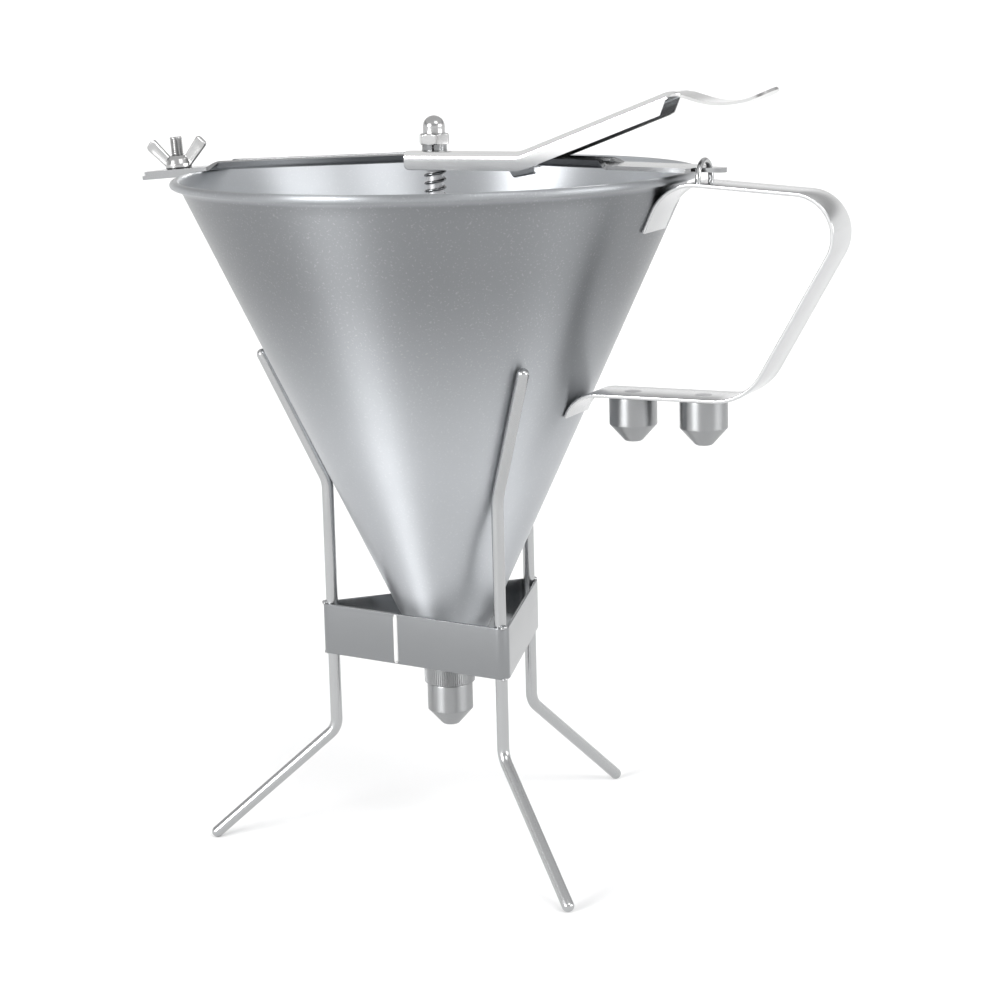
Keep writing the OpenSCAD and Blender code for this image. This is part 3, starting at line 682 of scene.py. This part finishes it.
def handle_line():
    """Middle of the handle's strip from the upper tab to the lower tab, in X and Z"""
    scoop, grip, foot, upper_tab, lower_tab = 0.5, 65.8, 25.8, 19, 9.2
    off, slope = (STRIP_T / 2 - scoop) / math.cos(CONE), math.tan(CONE)
    edge, low_z = RIM_Z - ARM_DROP, RIM_Z - LOWER_DROP
    root_z = (edge + ARM_FALL * (RIM_R - off + POINT_Z * slope)) / (1 + ARM_FALL * slope)
    root = np.array([cone_r(root_z) + off, root_z])
    low_root = np.array([cone_r(low_z) + off, low_z])
    way = np.array([math.sin(CONE), math.cos(CONE)])
    points = [
        root - upper_tab * way, root, (RIM_R + grip, edge - grip * ARM_FALL), (RIM_R + foot, low_z), low_root,
        low_root - lower_tab * way,
    ]
    return rounded(points, [0, 16.5, 14, 20, 12, 0], 24)


# Planes that a section is carried in: their two axes, and the one across them
XZ = ((1, 0, 0), (0, 0, 1), (0, 1, 0))
XY = ((1, 0, 0), (0, 1, 0), (0, 0, 1))


class BATTER_OT_handle(bpy.types.Operator):
    """Bends the handle's strip, and sets the riveted nozzle studs and the staple on it"""

    bl_idname = "batter.handle"
    bl_label = "Handle"

    def execute(self, context):
        finish, sizes = context.scene.batter_steel, context.scene.batter_shape
        steel = steel_finish(
            "strip_steel", finish.strip_colour, finish.strip_rough, lie=(1, 0.03, 1), lines=900.0,
            depth=0.002, cloud=0.04,
        )
        line, ways = filled(*handle_line(), 4.0)
        bar = carried(box_section(STRIP_T, STRIP_W, sizes.edge / MM + 0.1, 4), line, ways, XZ)
        put("handle_bar", bar, "funnel", ["handle_strip"], steel, sharp=50)
        put("nozzle_studs_riveted", self.studs(), "funnel", ["nozzle_studs"],
            bpy.data.materials["turned_steel"])
        wire_steel = steel_finish(
            "bright_wire", finish.wire_colour, rough=0.16, lie=(1, 1, 0.2), lines=900.0, depth=0.004
        )
        put("staple", self.staple(), "funnel", ["bridge_staple"], wire_steel)
        return {"FINISHED"}

    @staticmethod
    def studs():
        """The two studs under the handle, each with its neck riveted over on top of the strip: an oval head,
        (r cos a, rise sin a)"""
        under, top, foot = STRIP_UNDER, STRIP_UNDER + STRIP_T, STRIP_UNDER - SPIGOT_L
        r, rise = 3.0, 0.22
        head = [(r * math.cos(a), top + rise * math.sin(a)) for a in np.linspace(0.05, 1.5, 6)]
        profile = [
            (0, foot), (SPIGOT_R - 0.35, foot), (SPIGOT_R, foot + 0.4), (SPIGOT_R, under - 0.01), (r, under),
            (r, top - 0.05), *head, (0, top + rise),
        ]
        return joined(*[lathe(profile, 64, (x, 0)) for x in SPARE_X])

    @staticmethod
    def staple():
        """The staple's wire: up from the handle's arm, half round over the bridge's tongue and down again"""
        x, half, r = RIM_R + STAPLE_REACH, 6.4, 1.0
        spring = RIM_Z + 7.5 - r - half
        foot = RIM_Z - ARM_DROP - STAPLE_REACH * ARM_FALL + 0.4
        rise = np.linspace(foot, spring, 8)[:-1]
        bow = [(x, half * math.cos(a), spring + half * math.sin(a)) for a in np.linspace(0, np.pi, 33)]
        path = [(x, half, h) for h in rise] + bow + [(x, -half, h) for h in rise[::-1]]
        return wire(path, r, ends=False)


# ---- Bridge, clamp and lever ----


class BATTER_OT_bridge(bpy.types.Operator):
    """Folds the bridge out of one strip: its edges turn up between the clamp and the lever's arm"""

    bl_idname = "batter.bridge"
    bl_label = "Bridge"

    def execute(self, context):
        # Places along X, widths to one side, and the fold's lengths across the flat strip
        left, kink, level_from, level_to = -118.6, -(BEAD_MID - BEAD_W), -10.4, 20
        wide_half, shoulder, corner = 9.5, 101.0, 1.5
        tongue, tongue_half, tongue_fall = 111.0, 3.5, 2.5
        fold_from, fold_to, run = -(BEAD_MID - 3.2), 70.2, 4.0
        fold_full, flat, bend_l, shorter = math.radians(72), 4.22, 1.5, 0.58
        rod_hole, hole_reach = 3.05, 4.4
        under = [
            (left, clamp_z(left)), (kink, clamp_z(kink)), (level_from, UNDER_Z), (level_to, UNDER_Z),
            (tongue, UNDER_Z - tongue_fall),
        ]
        line, ways = filled(*rounded(under, [0, 60, 60, 60, 0]), 2.0)
        line = line + np.stack([-ways[:, 1], ways[:, 0]], 1) * BRIDGE_T / 2

        def turn_up(x, lead=0.0):
            """Share by which the edges are turned up; lead makes it rise earlier and fall later"""
            return smooth((x - fold_from + lead) / run) * smooth((fold_to + lead - x) / run)

        def half(x):
            """Half the flat strip's width: corners cut on the left, shoulders and a round tongue on the
            right"""
            wide = np.minimum(wide_half, wide_half - corner + np.maximum(x - left, 0))
            past = x - (shoulder - corner)
            wide = np.where(past > 0, np.minimum(wide, wide_half - past), wide)
            wide = np.where(x > shoulder, tongue_half, wide)
            end = np.sqrt(np.maximum(tongue_half**2 - np.maximum(x - (tongue - tongue_half), 0) ** 2, 0))
            return np.where(x > tongue - tongue_half, end, wide)

        def place(x, d):
            """The place of the flat strip's point: along the middle line, and up an arc of angle a and radius
            bend_l / fold past the flat middle, then straight on by the rest"""
            z, way_x, way_z = (np.interp(x, line[:, 0], v) for v in (line[:, 1], ways[:, 0], ways[:, 1]))
            fold = np.maximum(turn_up(x) ** 1.2 * fold_full, 1e-4)
            past = np.maximum(np.abs(d) - flat, 0)
            arc = np.minimum(past, bend_l)
            rest = (past - arc) * (1 - shorter * turn_up(x, 1.0))
            a = fold * arc / bend_l
            y = np.minimum(np.abs(d), flat) + bend_l / fold * np.sin(a) + rest * np.cos(a)
            up = bend_l / fold * (1 - np.cos(a)) + rest * np.sin(a)
            return np.stack([x - way_z * up, np.sign(d) * y, z + way_x * up], 1)

        xs = np.unique(np.concatenate([
            np.arange(left, tongue - tongue_half, 2.0), np.arange(-7, 7.01, 0.5),
            np.arange(fold_from, fold_from + run, 0.3), np.arange(fold_to - run, fold_to, 0.3),
            left + np.array([0.5, 1, corner]), shoulder + np.array([-corner, -0.5, 0, 0.02]),
            tongue - tongue_half + tongue_half * np.sin(np.linspace(0, np.pi / 2, 10)),
        ]))
        shape = sheet(xs, np.linspace(-1, 1, 45), half, place, (-1e-6, 1e-6, rod_hole, hole_reach))
        finish = context.scene.batter_steel
        steel = steel_finish(
            "bridge_steel", finish.bridge_colour, finish.strip_rough, lie=(0.03, 1, 1), lines=900.0,
            depth=0.002, cloud=0.05,
        )
        put("bridge_folded", shape, "funnel", ["bridge"], steel, closed=False, wall=BRIDGE_T,
            edge=0.15)
        return {"FINISHED"}


class BATTER_OT_clamp(bpy.types.Operator):
    """Cuts the clamp stud's thread and casts the wing nut"""

    bl_idname = "batter.clamp"
    bl_label = "Stud and wing nut"

    def execute(self, context):
        finish, sizes = context.scene.batter_steel, context.scene.batter_shape
        steel = steel_finish(
            "nut_steel", finish.nut_colour, rough=0.22, lie=(1, 1, 1), lines=1500.0, depth=0.01, cloud=0.12
        )
        at, floor = (STUD_X, 0, clamp_z(STUD_X)), BRIDGE_T + FIT
        # Heights from the bridge's underside, along the stud
        radius, foot, top, pitch = 2.48, -1.5, 13.4, sizes.pitch / MM
        rise = [(radius, h) for h in np.arange(foot + 0.1, top - 0.45, pitch / 10)]
        profile = [(0, foot), (radius - 0.18, foot), *rise, (radius - 0.38, top - 0.02), (0, top)]
        turns = thread(pitch, depth=0.5, from_z=1.6, to_z=top - 0.1)
        stud = lathe(profile, 96, shift=lambda r, z, a: turns(r, z, a) * (r > 1))
        put("threaded_stud", turned(stud, -TILT, at), "funnel", ["clamp_stud"], steel,
            sharp=80)
        nut = joined(self.body(floor), self.wing(1, floor), self.wing(-1, floor))
        put("wing_nut_cast", turned(nut, -TILT, at), "wing_nut", ["wing_nut"], steel,
            sharp=60)
        return {"FINISHED"}

    @staticmethod
    def body(floor):
        """The nut's body, turned from a line that swells at the foot and narrows to the top"""
        bore, height = 2.55, 4.8
        corners = [
            (bore, 0), (4.6, 0), (5.0, 0.45), (4.95, 1.6), (4.4, 3.4), (3.4, height), (bore, height),
        ]
        line = rounded(corners, [0.1, 0.3, 0.3, 1.5, 1.5, 0.5, 0.3], 6, closed=True)[0]
        return lathe(line + np.array([0, floor]), 96)

    @staticmethod
    def wing(side, floor):
        """One wing between a lower and an upper edge that are straight lines; at distance e from its end the
        half width falls by r - root(r^2 - (r - e)^2), and the thickness is an oval of the same kind. It is
        dished: the middle of its faces lies lower than the edges by a share that grows as 1 - u^2."""
        low_root, low_foot, low_tip = np.array([(4.0, 0.6), (5.0, 0.45), (13.6, 8.4)])
        top_root, top_foot, top_tip = np.array([(2.9, 4.5), (3.6, 4.75), (10.0, 12.0)])
        end_r, half_t, half_t_run, dish, rim = 1.5, 0.9, 0.5, 0.35, 2.5
        reach = np.linalg.norm((low_tip + top_tip - low_foot - top_foot) / 2)
        round_end = end_r * (1 - np.sin(np.linspace(0, np.pi / 2, 14)))
        e = np.concatenate([np.linspace(reach, end_r + 0.1, 14), round_end])
        t = (1 - e / reach)[:, None]
        low = np.concatenate([[low_root], low_foot + t * (low_tip - low_foot)])
        high = np.concatenate([[top_root], top_foot + t * (top_tip - top_foot)])
        e = np.concatenate([[reach], e])
        half = np.linalg.norm(high - low, axis=1) / 2
        width = 1 - (end_r - np.sqrt(np.maximum(end_r**2 - np.maximum(end_r - e, 0) ** 2, 0))) / half
        thick = half_t * np.sqrt(np.maximum(1 - np.maximum(1 - e / half_t_run, 0) ** 2, 0))
        a = np.arange(40) / 40 * TAU
        u, v = (np.sign(w) * np.abs(w) ** 0.5 for w in (np.cos(a), np.sin(a)))
        middle, out = (low + high) / 2, (high - low) / 2
        hollow = 1 - dish * (1 - u[None, :] ** 2) * smooth((e - half_t_run) / rim)[:, None]
        across = width[:, None] * u[None, :]
        x = middle[:, :1] + across * out[:, :1]
        z = middle[:, 1:] + across * out[:, 1:] + floor
        grid = np.stack([side * x, thick[:, None] * v[None, :] * hollow, z], -1)
        return grid.reshape(-1, 3), tube_faces(*grid.shape[:2])


LEVER_T = 1.0
LEVER_W = 16.0
LEVER_H = 6.7
LEVER_TAIL = 8.4
KNEE_X = 36.2
ARM = math.radians(20.3)
WALLS_END = 59.5
PAD_R = 8.55


def lever_line():
    """Middle of the lever's sheet from its end by the rod to the pad's tip, in X and Z, knee at [0, 0]. Gives
    the line, the corner at the knee and the arm's direction."""
    hump_past, dip_l, tip_l = 1, 24, 15.1
    knee = np.array([LEVER_T / 2 * math.tan(ARM / 2), -LEVER_T / 2])
    arm, down = toward(ARM), ARM - math.radians(36.4)
    hump = knee + (WALLS_END + hump_past) * arm
    dip = hump + dip_l * toward(down)
    tip = dip + tip_l * toward(down + math.radians(46))
    tail = (-KNEE_X - LEVER_TAIL, knee[1])
    return rounded([tail, knee, hump, dip, tip], [0, 8, 6.9, 34, 0], 20), knee, arm


class BATTER_OT_lever(bpy.types.Operator):
    """Presses the lever out of one sheet: a channel with a bent thumb pad, and the ear below its knee"""

    bl_idname = "batter.lever"
    bl_label = "Lever"

    def execute(self, context):
        finish, sizes = context.scene.batter_steel, context.scene.batter_shape
        steel = steel_finish(
            "lever_steel", finish.lever_colour, rough=0.14, lie=(0.04, 1, 1), lines=900.0, depth=0.001,
            cloud=0.03, painted_light=self.painted_light,
        )
        (places, ways), knee, arm = lever_line()
        line, ways = filled(places, ways, 1.5)
        along = distances(line)
        total = along[-1]
        bend = sizes.lever_round / MM
        quarter = bend * np.pi / 2
        flat = (LEVER_W - LEVER_T) / 2 - bend
        deep = LEVER_H - LEVER_T / 2 - bend
        corner, slant_past, slant, open_run = 2, 1.2, 3.8, 4.5
        slot_l, slot_r, slot_reach = 1.5, 3.3, 4.8
        on_arm = (line - knee) @ arm
        near_end = on_arm < WALLS_END + 0.9
        top_end = np.interp(WALLS_END, on_arm[near_end], along[near_end])

        def folded(s):
            """1 where the sheet is a channel, and 0 where it lies flat as the pad"""
            return 1 - smooth((s - top_end) / open_run)

        def depth(s):
            """Depth of the flat part of a wall: cut round at the rod's end and slanted at the other"""
            cut = corner - np.sqrt(np.maximum(corner**2 - np.maximum(corner - s, 0) ** 2, 0))
            return np.maximum(deep - cut, 0) * np.clip((top_end - slant_past - s) / slant, 0, 1)

        def half(s):
            """Half the sheet's width when flat: the top, a quarter turn and a wall, or the round pad"""
            fold = folded(s)
            wide = flat + fold * quarter + (1 - fold) * (LEVER_W / 2 - flat) + depth(s)
            tip = np.sqrt(np.maximum(PAD_R**2 - np.maximum(s - (total - PAD_R), 0) ** 2, 0))
            return np.where(s > total - PAD_R, np.minimum(wide, tip), wide)

        def place(s, d):
            """The place of the flat sheet's point: along the middle line, and past the flat middle down an
            arc of radius bend / fold, then straight on"""
            x, z, way_x, way_z = (np.interp(s, along, v) for v in (*line.T, *ways.T))
            fold = np.maximum(folded(s), 1e-4)
            past = np.maximum(np.abs(d) - flat, 0)
            arc = np.minimum(past, quarter)
            turn = fold * arc / bend
            y = np.minimum(np.abs(d), flat) + bend / fold * np.sin(turn) + (past - arc) * np.cos(turn)
            down = bend / fold * (1 - np.cos(turn)) + (past - arc) * np.sin(turn)
            return np.stack([KNEE_X + x + way_z * down, np.sign(d) * y, LEVER_Z + z - way_x * down], 1)

        s = np.unique(np.concatenate([
            np.arange(0, total - PAD_R, 1.5), np.linspace(0, corner, 8),
            np.arange(LEVER_TAIL - 7, LEVER_TAIL + 5.6, 0.5), top_end + np.arange(-5, 5.1, 0.2),
            total - PAD_R + PAD_R * np.sin(np.linspace(0, np.pi / 2, 16)),
        ]))
        slot = (LEVER_TAIL - slot_l, LEVER_TAIL, slot_r, slot_reach)
        shape = sheet(s, np.linspace(-1, 1, 73), half, place, slot)
        put("lever_pressed", shape, "lever", ["lever"], steel, closed=False, wall=LEVER_T,
            edge=0.15)
        put("lever_ear", self.ear(), "lever", (), steel, edge=0.1)
        return {"FINISHED"}

    @staticmethod
    def painted_light(paint):
        """Factor on the lever's tone: the thumb pad, past the channel's end, is darkened as painted shade"""
        # Places along X in metres
        # The thumb pad is painted darker: painted shade
        pad_shade_from, pad_shade_to, pad_painted_shade = 0.091, 0.1, -0.34
        return paint.ramp(paint.xyz()[0], pad_shade_from, pad_shade_to, pad_painted_shade) + 1.0

    @staticmethod
    def ear():
        """The near wall's ear: an upright that turns in at a round fold, carried along the fold. The fold
        rises at half the arm's slope. The ear leans in, by lean for each mm down, and widens upwards by 1 mm
        on each side."""
        low, fold_l, start_x, rings = -(LEVER_H + 2.5), 7.6, KNEE_X - 1.9, 6
        lean, lean_top, widen_top = 0.45, 2.6, 2.5
        way = toward(ARM / 2)
        run = np.linspace(0, fold_l / way[0], rings)[:, None]
        places = np.array([start_x, LEVER_Z + low]) + run * way
        top, outer, inner, end = 3.4, -LEVER_W / 2 + 0.02, -LEVER_W / 2 + 0.98, -LEVER_W / 2 + 2.0
        section = rounded(
            [(top, outer), (0.02, outer), (0.02, end), (0.98, end), (0.98, inner), (top, inner)],
            [0, 1.0, 0.1, 0.1, 0.15, 0], closed=True,
        )[0]
        points, faces = carried(section, places, np.repeat(way[None], rings, 0), XZ)
        grid = points.reshape(rings, -1, 3)
        wider = np.clip(section[:, 0] / widen_top, 0, 1)
        grid[0, :, 0] -= wider
        grid[-1, :, 0] += wider
        grid[:, :, 1] += np.maximum(lean_top - section[:, 0], 0) * lean
        return grid.reshape(-1, 3), faces


# ---- Valve ----


class BATTER_OT_valve(bpy.types.Operator):
    """Turns the rod, winds the return spring and shapes the cap nut"""

    bl_idname = "batter.valve"
    bl_label = "Rod, spring and cap nut"

    def execute(self, context):
        finish = context.scene.batter_steel
        spring_steel = steel_finish(
            "spring_steel", finish.spring_colour, rough=0.2, lie=(1, 1, 1), lines=900.0, depth=0.002
        )
        self.rod(bpy.data.materials["turned_steel"])
        self.spring(spring_steel)
        self.cap(bpy.data.materials["nut_steel"])
        return {"FINISHED"}

    @staticmethod
    def rod(steel):
        """The rod: plain up to the bridge, and threaded from there to its top"""
        low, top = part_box("valve_rod")[0].z / MM, LEVER_Z + 8
        radius = 3.0
        plain = [(radius, h) for h in np.linspace(low + 0.3, UNDER_Z - 1, 30)]
        cut = [(radius - 0.03, h) for h in np.arange(UNDER_Z, top - 0.3, 0.1)]
        profile = [(0, low), (radius - 0.3, low), *plain, *cut, (radius - 0.5, top), (0, top)]
        turns = thread(pitch=1.0, depth=0.55, from_z=LEVER_Z - 1.2, to_z=top - 0.2)
        shape = lathe(profile, 64, shift=lambda r, z, a: turns(r, z, a) * (r > 2.6))
        put("rod_turned", shape, "valve", ["valve_rod"], steel, sharp=80)

    @staticmethod
    def spring(steel):
        """Coil: (coil_r cos a, coil_r sin a, z) with z rising evenly with a"""
        low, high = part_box("return_spring")[0].z / MM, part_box("return_spring")[1].z / MM
        r, coil_r, turns = 0.5, 3.6, 7
        a = np.linspace(0, turns * TAU, turns * 48 + 1)
        z = low + r + (high - low - 2 * r) * a / a[-1]
        path = np.stack([coil_r * np.cos(a), coil_r * np.sin(a), z], 1)
        coil = put("spring_coil", wire(path, r, 14), "valve", ["return_spring"], steel,
            sharp=80)
        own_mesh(coil)

    @staticmethod
    def cap(steel):
        """Hexagon r = flat / cos(angle to the nearest flat), cut by the cones of its two chamfers, with a
        dome above"""
        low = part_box("cap_nut")[0].z / MM
        h, flat, dome_r, bore, chamfer = 3.9, 5.0, 4.0, 3.05, math.radians(30)
        corner = flat / math.cos(np.pi / 6)
        face, centre = low + h, low + h + 2.4

        def shape(r, z, a):
            b = (a - math.radians(4)) % (np.pi / 3) - np.pi / 6
            cone = flat * 0.97 + np.minimum(face - z, z - low) / math.tan(chamfer)
            return np.where(r > corner - 0.01, np.minimum(np.minimum(flat / np.cos(b), cone), corner) - r, 0)

        side = [(corner, low + h * (0.5 - 0.5 * math.cos(t))) for t in np.linspace(0, np.pi, 26)]
        neck = [(dome_r + 0.35, face), (dome_r + 0.1, face + 0.15), (dome_r, face + 0.5)]
        dome = [(dome_r * math.cos(t), centre + dome_r * math.sin(t)) for t in np.linspace(0, np.pi / 2, 16)]
        inside = [
            (0, low + 6.8), (bore - 0.15, low + 6.5), (bore, low + 6.4), (bore, low + 0.3),
            (bore + 0.35, low), (flat - 0.4, low),
        ]
        nut = lathe([*inside, *side, *neck, *dome], 144, shift=shape)
        put("cap_nut_domed", nut, "valve", ["cap_nut"], steel, sharp=25)


# ---- Stand ----


# Each leg's name and its direction in degrees
LEGS = (("left", 202), ("front", 322), ("back", 70))
LEG_R = 2.2
UPRIGHT = 43.3


def leg_line(turn):
    """Middle of a leg's wire in space, from its foot to the end of its rest on the cone"""
    foot_r, knee_z, rest_l, rest_gap = 90.7, 43.4, 52.5, 0.25
    rest_z = cone_z(UPRIGHT - (LEG_R + rest_gap) / math.cos(CONE))
    points = [
        (foot_r, LEG_R), (UPRIGHT, knee_z), (UPRIGHT, rest_z),
        (UPRIGHT + rest_l * math.sin(CONE), rest_z + rest_l * math.cos(CONE)),
    ]
    line = filled(*rounded(points, [0, 8, 12, 0], 20), 3.0)[0]
    ends = [line[0] + unit(line[0] - line[1]) * LEG_R, line[-1] + unit(line[-1] - line[-2]) * LEG_R]
    line = np.concatenate([ends[:1], line, ends[1:]])
    return np.column_stack([line[:, :1] * toward(math.radians(turn)), line[:, 1]])


class BATTER_OT_stand(bpy.types.Operator):
    """Bends the three wires and the band of the stand, with the weld beads between them"""

    bl_idname = "batter.stand"
    bl_label = "Stand"

    def execute(self, context):
        finish = context.scene.batter_steel
        steel = steel_finish(
            "stand_wire", finish.wire_colour, rough=0.24, lie=(1, 1, 0.1), lines=800.0, depth=0.006,
            cloud=0.08,
        )
        for name, turn in LEGS:
            put(f"leg_{name}", wire(leg_line(turn), LEG_R, 32), "stand", [f"stand_leg_{name}"],
                steel)
        band_steel = steel_finish(
            "band_steel", finish.band_colour, rough=0.24, lie=(0.05, 0.05, 1), lines=1400.0, depth=0.004,
            cloud=0.05,
        )
        low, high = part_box("stand_band")[0].z / MM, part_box("stand_band")[1].z / MM
        spots = [UPRIGHT * toward(math.radians(turn)) for _, turn in LEGS]
        self.band(spots, low, high, band_steel)
        self.welds(spots, low, high)
        return {"FINISHED"}

    @staticmethod
    def band(spots, low, high, steel):
        """The band: a strip round the three wires with an arc about each, whose two ends meet at a welded
        seam between the left and the front wire. An arc's corner lies at
        wire + bend * (m + n) / (1 + m * n), where m and n are the outward directions of the two sides that
        meet there."""
        thick, bend, seam_share, seam_half = 1.0, LEG_R + 0.53, 0.43, 0.04
        corners = []
        for i in range(3):
            a, b, c = spots[i - 1], spots[i], spots[(i + 1) % 3]
            m, n = (np.array([way[1], -way[0]]) for way in (unit(b - a), unit(c - b)))
            corners.append(b + bend * (m + n) / (1 + m @ n))
        left, front, back = corners
        seam, way = left + (front - left) * seam_share, unit(front - left)
        line, ways = rounded(
            [seam + way * seam_half, front, back, left, seam - way * seam_half], [0, bend, bend, bend, 0], 16
        )
        section = box_section(thick, high - low, 0.3, 4) + np.array([0, (high + low) / 2])
        band = carried(section, *filled(line, ways, 3.0), XY)
        put("band_wrapped", band, "stand", ["stand_band"], steel, sharp=50)
        at = seam + np.array([way[1], -way[0]]) * 0.05
        bead = wire([(*at, z) for z in np.linspace(low + 0.2, high - 0.2, 30)], 1.05)
        put("band_seam", bead, "stand", (), bpy.data.materials["strip_steel"])

    @staticmethod
    def welds(spots, low, high):
        """Weld beads: flattened balls of radius 1 + 0.12 sin 3a cos 2b, at the wires above and below the
        band"""
        beads = []
        a, b = np.meshgrid(np.linspace(-np.pi / 2, np.pi / 2, 13), np.arange(20) / 20 * TAU, indexing="ij")
        r = 1 + 0.12 * np.sin(3 * a) * np.cos(2 * b)
        ball = np.stack([r * np.cos(a) * np.cos(b), r * np.cos(a) * np.sin(b), r * np.sin(a)], -1)
        ball = ball.reshape(-1, 3)
        faces = grid_faces(*a.shape, wrap_cols=True).tolist()
        for spot in spots:
            out = unit(spot)
            for z, size in ((high, 1.5), (low, 1.2)):
                at = np.array([*(spot + out * (LEG_R + 0.1)), z])
                beads.append((ball * np.array([size, size, size * 0.6]) + at, faces))
        put("stand_welds", joined(*beads), "stand", (), bpy.data.materials["bright_wire"],
            sharp=80)


# ---- Pieces kept from the solids ----


class BATTER_OT_kept(bpy.types.Operator):
    """Gives the solids that keep their shape the steel of their neighbours"""

    bl_idname = "batter.kept"
    bl_label = "Kept solids"

    def execute(self, context):
        for node, name in (
            ("rim_tab", "bridge_steel"), ("valve_plug", "turned_steel"), ("spring_collar", "turned_steel"),
            ("lock_washer", "spring_steel"),
        ):
            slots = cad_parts[node].data.materials
            steel = bpy.data.materials[name]
            if len(slots):
                for i in range(len(slots)):
                    slots[i] = steel
            else:
                slots.append(steel)
        return {"FINISHED"}


# ---- Stage ----


class BATTER_OT_stage(bpy.types.Operator):
    """Lays the floor and sets the lights and the camera"""

    bl_idname = "batter.stage"
    bl_label = "Stage"

    def execute(self, context):
        scene, stage = context.scene, context.scene.batter_stage
        self.floor(scene, stage)
        scene.world = self.room(stage)
        self.camera(scene, stage)
        scene.view_settings.view_transform = "Standard"
        return {"FINISHED"}

    @staticmethod
    def floor(scene, stage):
        """A pale floor that reaches past the camera's view on every side"""
        mesh = bpy.data.meshes.new("floor")
        s = 150.0
        mesh.from_pydata([(-s, -s, 0), (s, -s, 0), (s, s, 0), (-s, s, 0)], [], [(0, 1, 2, 3)])
        floor = bpy.data.objects.new("floor", mesh)
        scene.collection.objects.link(floor)
        paint = Paint(bpy.data.materials.new("floor_paint"))
        tone = paint.blend(paint.grain(3.0), rgba(stage.floor_colour, 0.99), rgba(stage.floor_colour, 1.01))
        mesh.materials.append(paint.done("ShaderNodeBsdfPrincipled", {"Base Color": tone, "Roughness": 0.9}))

    @staticmethod
    def camera(scene, stage):
        """The camera: its place in metres, and its turns in degrees about the upright, down from it and about
        its own view"""
        place = (0.3998, -0.7951, 0.3168)
        turns = ((25.38, "Z"), (78.14, "X"), (-1.40, "Z"))
        camera = bpy.data.objects.new("camera", bpy.data.cameras.new("camera"))
        scene.collection.objects.link(camera)
        camera.data.sensor_width = 36
        camera.data.lens = stage.lens
        camera.data.clip_start, camera.data.clip_end = 0.05, 1000
        pose = Matrix.Translation(place)
        for degrees, axis in turns:
            pose = pose @ Matrix.Rotation(math.radians(degrees), 4, axis)
        camera.matrix_world = pose
        scene.camera = camera

    @staticmethod
    def room(stage):
        """Light from all round: a white cloth low down, a brighter upper half, and three soft panels"""
        paint = Paint(bpy.data.worlds.new("room"))
        ramp = paint.ramp
        x, y, z = paint.xyz("Generated")
        height = paint.maths("ARCSINE", z)

        def panel(turn, half, low, high, soft, level):
            """A panel in the direction turn, half wide to either side and from low to high, all in degrees,
            with an edge that fades over soft degrees to either side"""
            c, s = toward(math.radians(turn))
            away = paint.maths("ABSOLUTE", paint.maths("ARCTAN2", y * c - x * s, x * c + y * s))
            half, low, high, soft = (math.radians(v) for v in (half, low, high, soft))
            over = ramp(height, low - soft, low + soft) * (1.0 - ramp(height, high - soft, high + soft))
            return (1.0 - ramp(away, half - soft, half + soft)) * over * level

        cloth = ramp(z, 0.3, 0.15, stage.backdrop - stage.room)
        upper = ramp(z, 0.38, 0.5, stage.ceiling)
        light = (
            cloth + upper + stage.room
            + panel(turn=-113, half=13, low=9, high=22, soft=3, level=stage.key)
            + panel(turn=4, half=18, low=6, high=18, soft=4, level=stage.side)
            + panel(turn=-33, half=17, low=36, high=54, soft=6, level=stage.top)
        )
        white = (1.0, 1.0, 1.0, 1.0)
        return paint.done(
            "ShaderNodeBackground", {"Color": white, "Strength": light}, "ShaderNodeOutputWorld"
        )


# ---- Panel and registration ----


OPERATORS = (
    BATTER_OT_funnel, BATTER_OT_outlet, BATTER_OT_handle, BATTER_OT_bridge, BATTER_OT_clamp, BATTER_OT_lever,
    BATTER_OT_valve, BATTER_OT_stand, BATTER_OT_kept, BATTER_OT_stage,
)
GROUPS = (("batter_steel", SteelSettings), ("batter_shape", ShapeSettings), ("batter_stage", StageSettings))


class BATTER_PT_panel(bpy.types.Panel):
    """Lists the settings and the pieces"""

    bl_label = "Batter funnel"
    bl_idname = "BATTER_PT_panel"
    bl_space_type = "VIEW_3D"
    bl_region_type = "UI"
    bl_category = "Batter funnel"

    def draw(self, context):
        for name, group in GROUPS:
            box = self.layout.box()
            for key in group.__annotations__:
                box.prop(getattr(context.scene, name), key)
        for operator in OPERATORS:
            self.layout.operator(operator.bl_idname)


def register():
    """Registers the settings, the operators and the panel"""
    for name, group in GROUPS:
        bpy.utils.register_class(group)
        setattr(bpy.types.Scene, name, PointerProperty(type=group))
    for cls in (*OPERATORS, BATTER_PT_panel):
        bpy.utils.register_class(cls)


def unregister():
    """Takes them away again"""
    for cls in (BATTER_PT_panel, *reversed(OPERATORS)):
        bpy.utils.unregister_class(cls)
    for name, group in reversed(GROUPS):
        delattr(bpy.types.Scene, name)
        bpy.utils.unregister_class(group)


def main():
    """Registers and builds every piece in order"""
    register()
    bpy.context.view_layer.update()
    for operator in OPERATORS:
        group, name = operator.bl_idname.split(".")
        getattr(getattr(bpy.ops, group), name)()


if __name__ == "__main__":
    main()
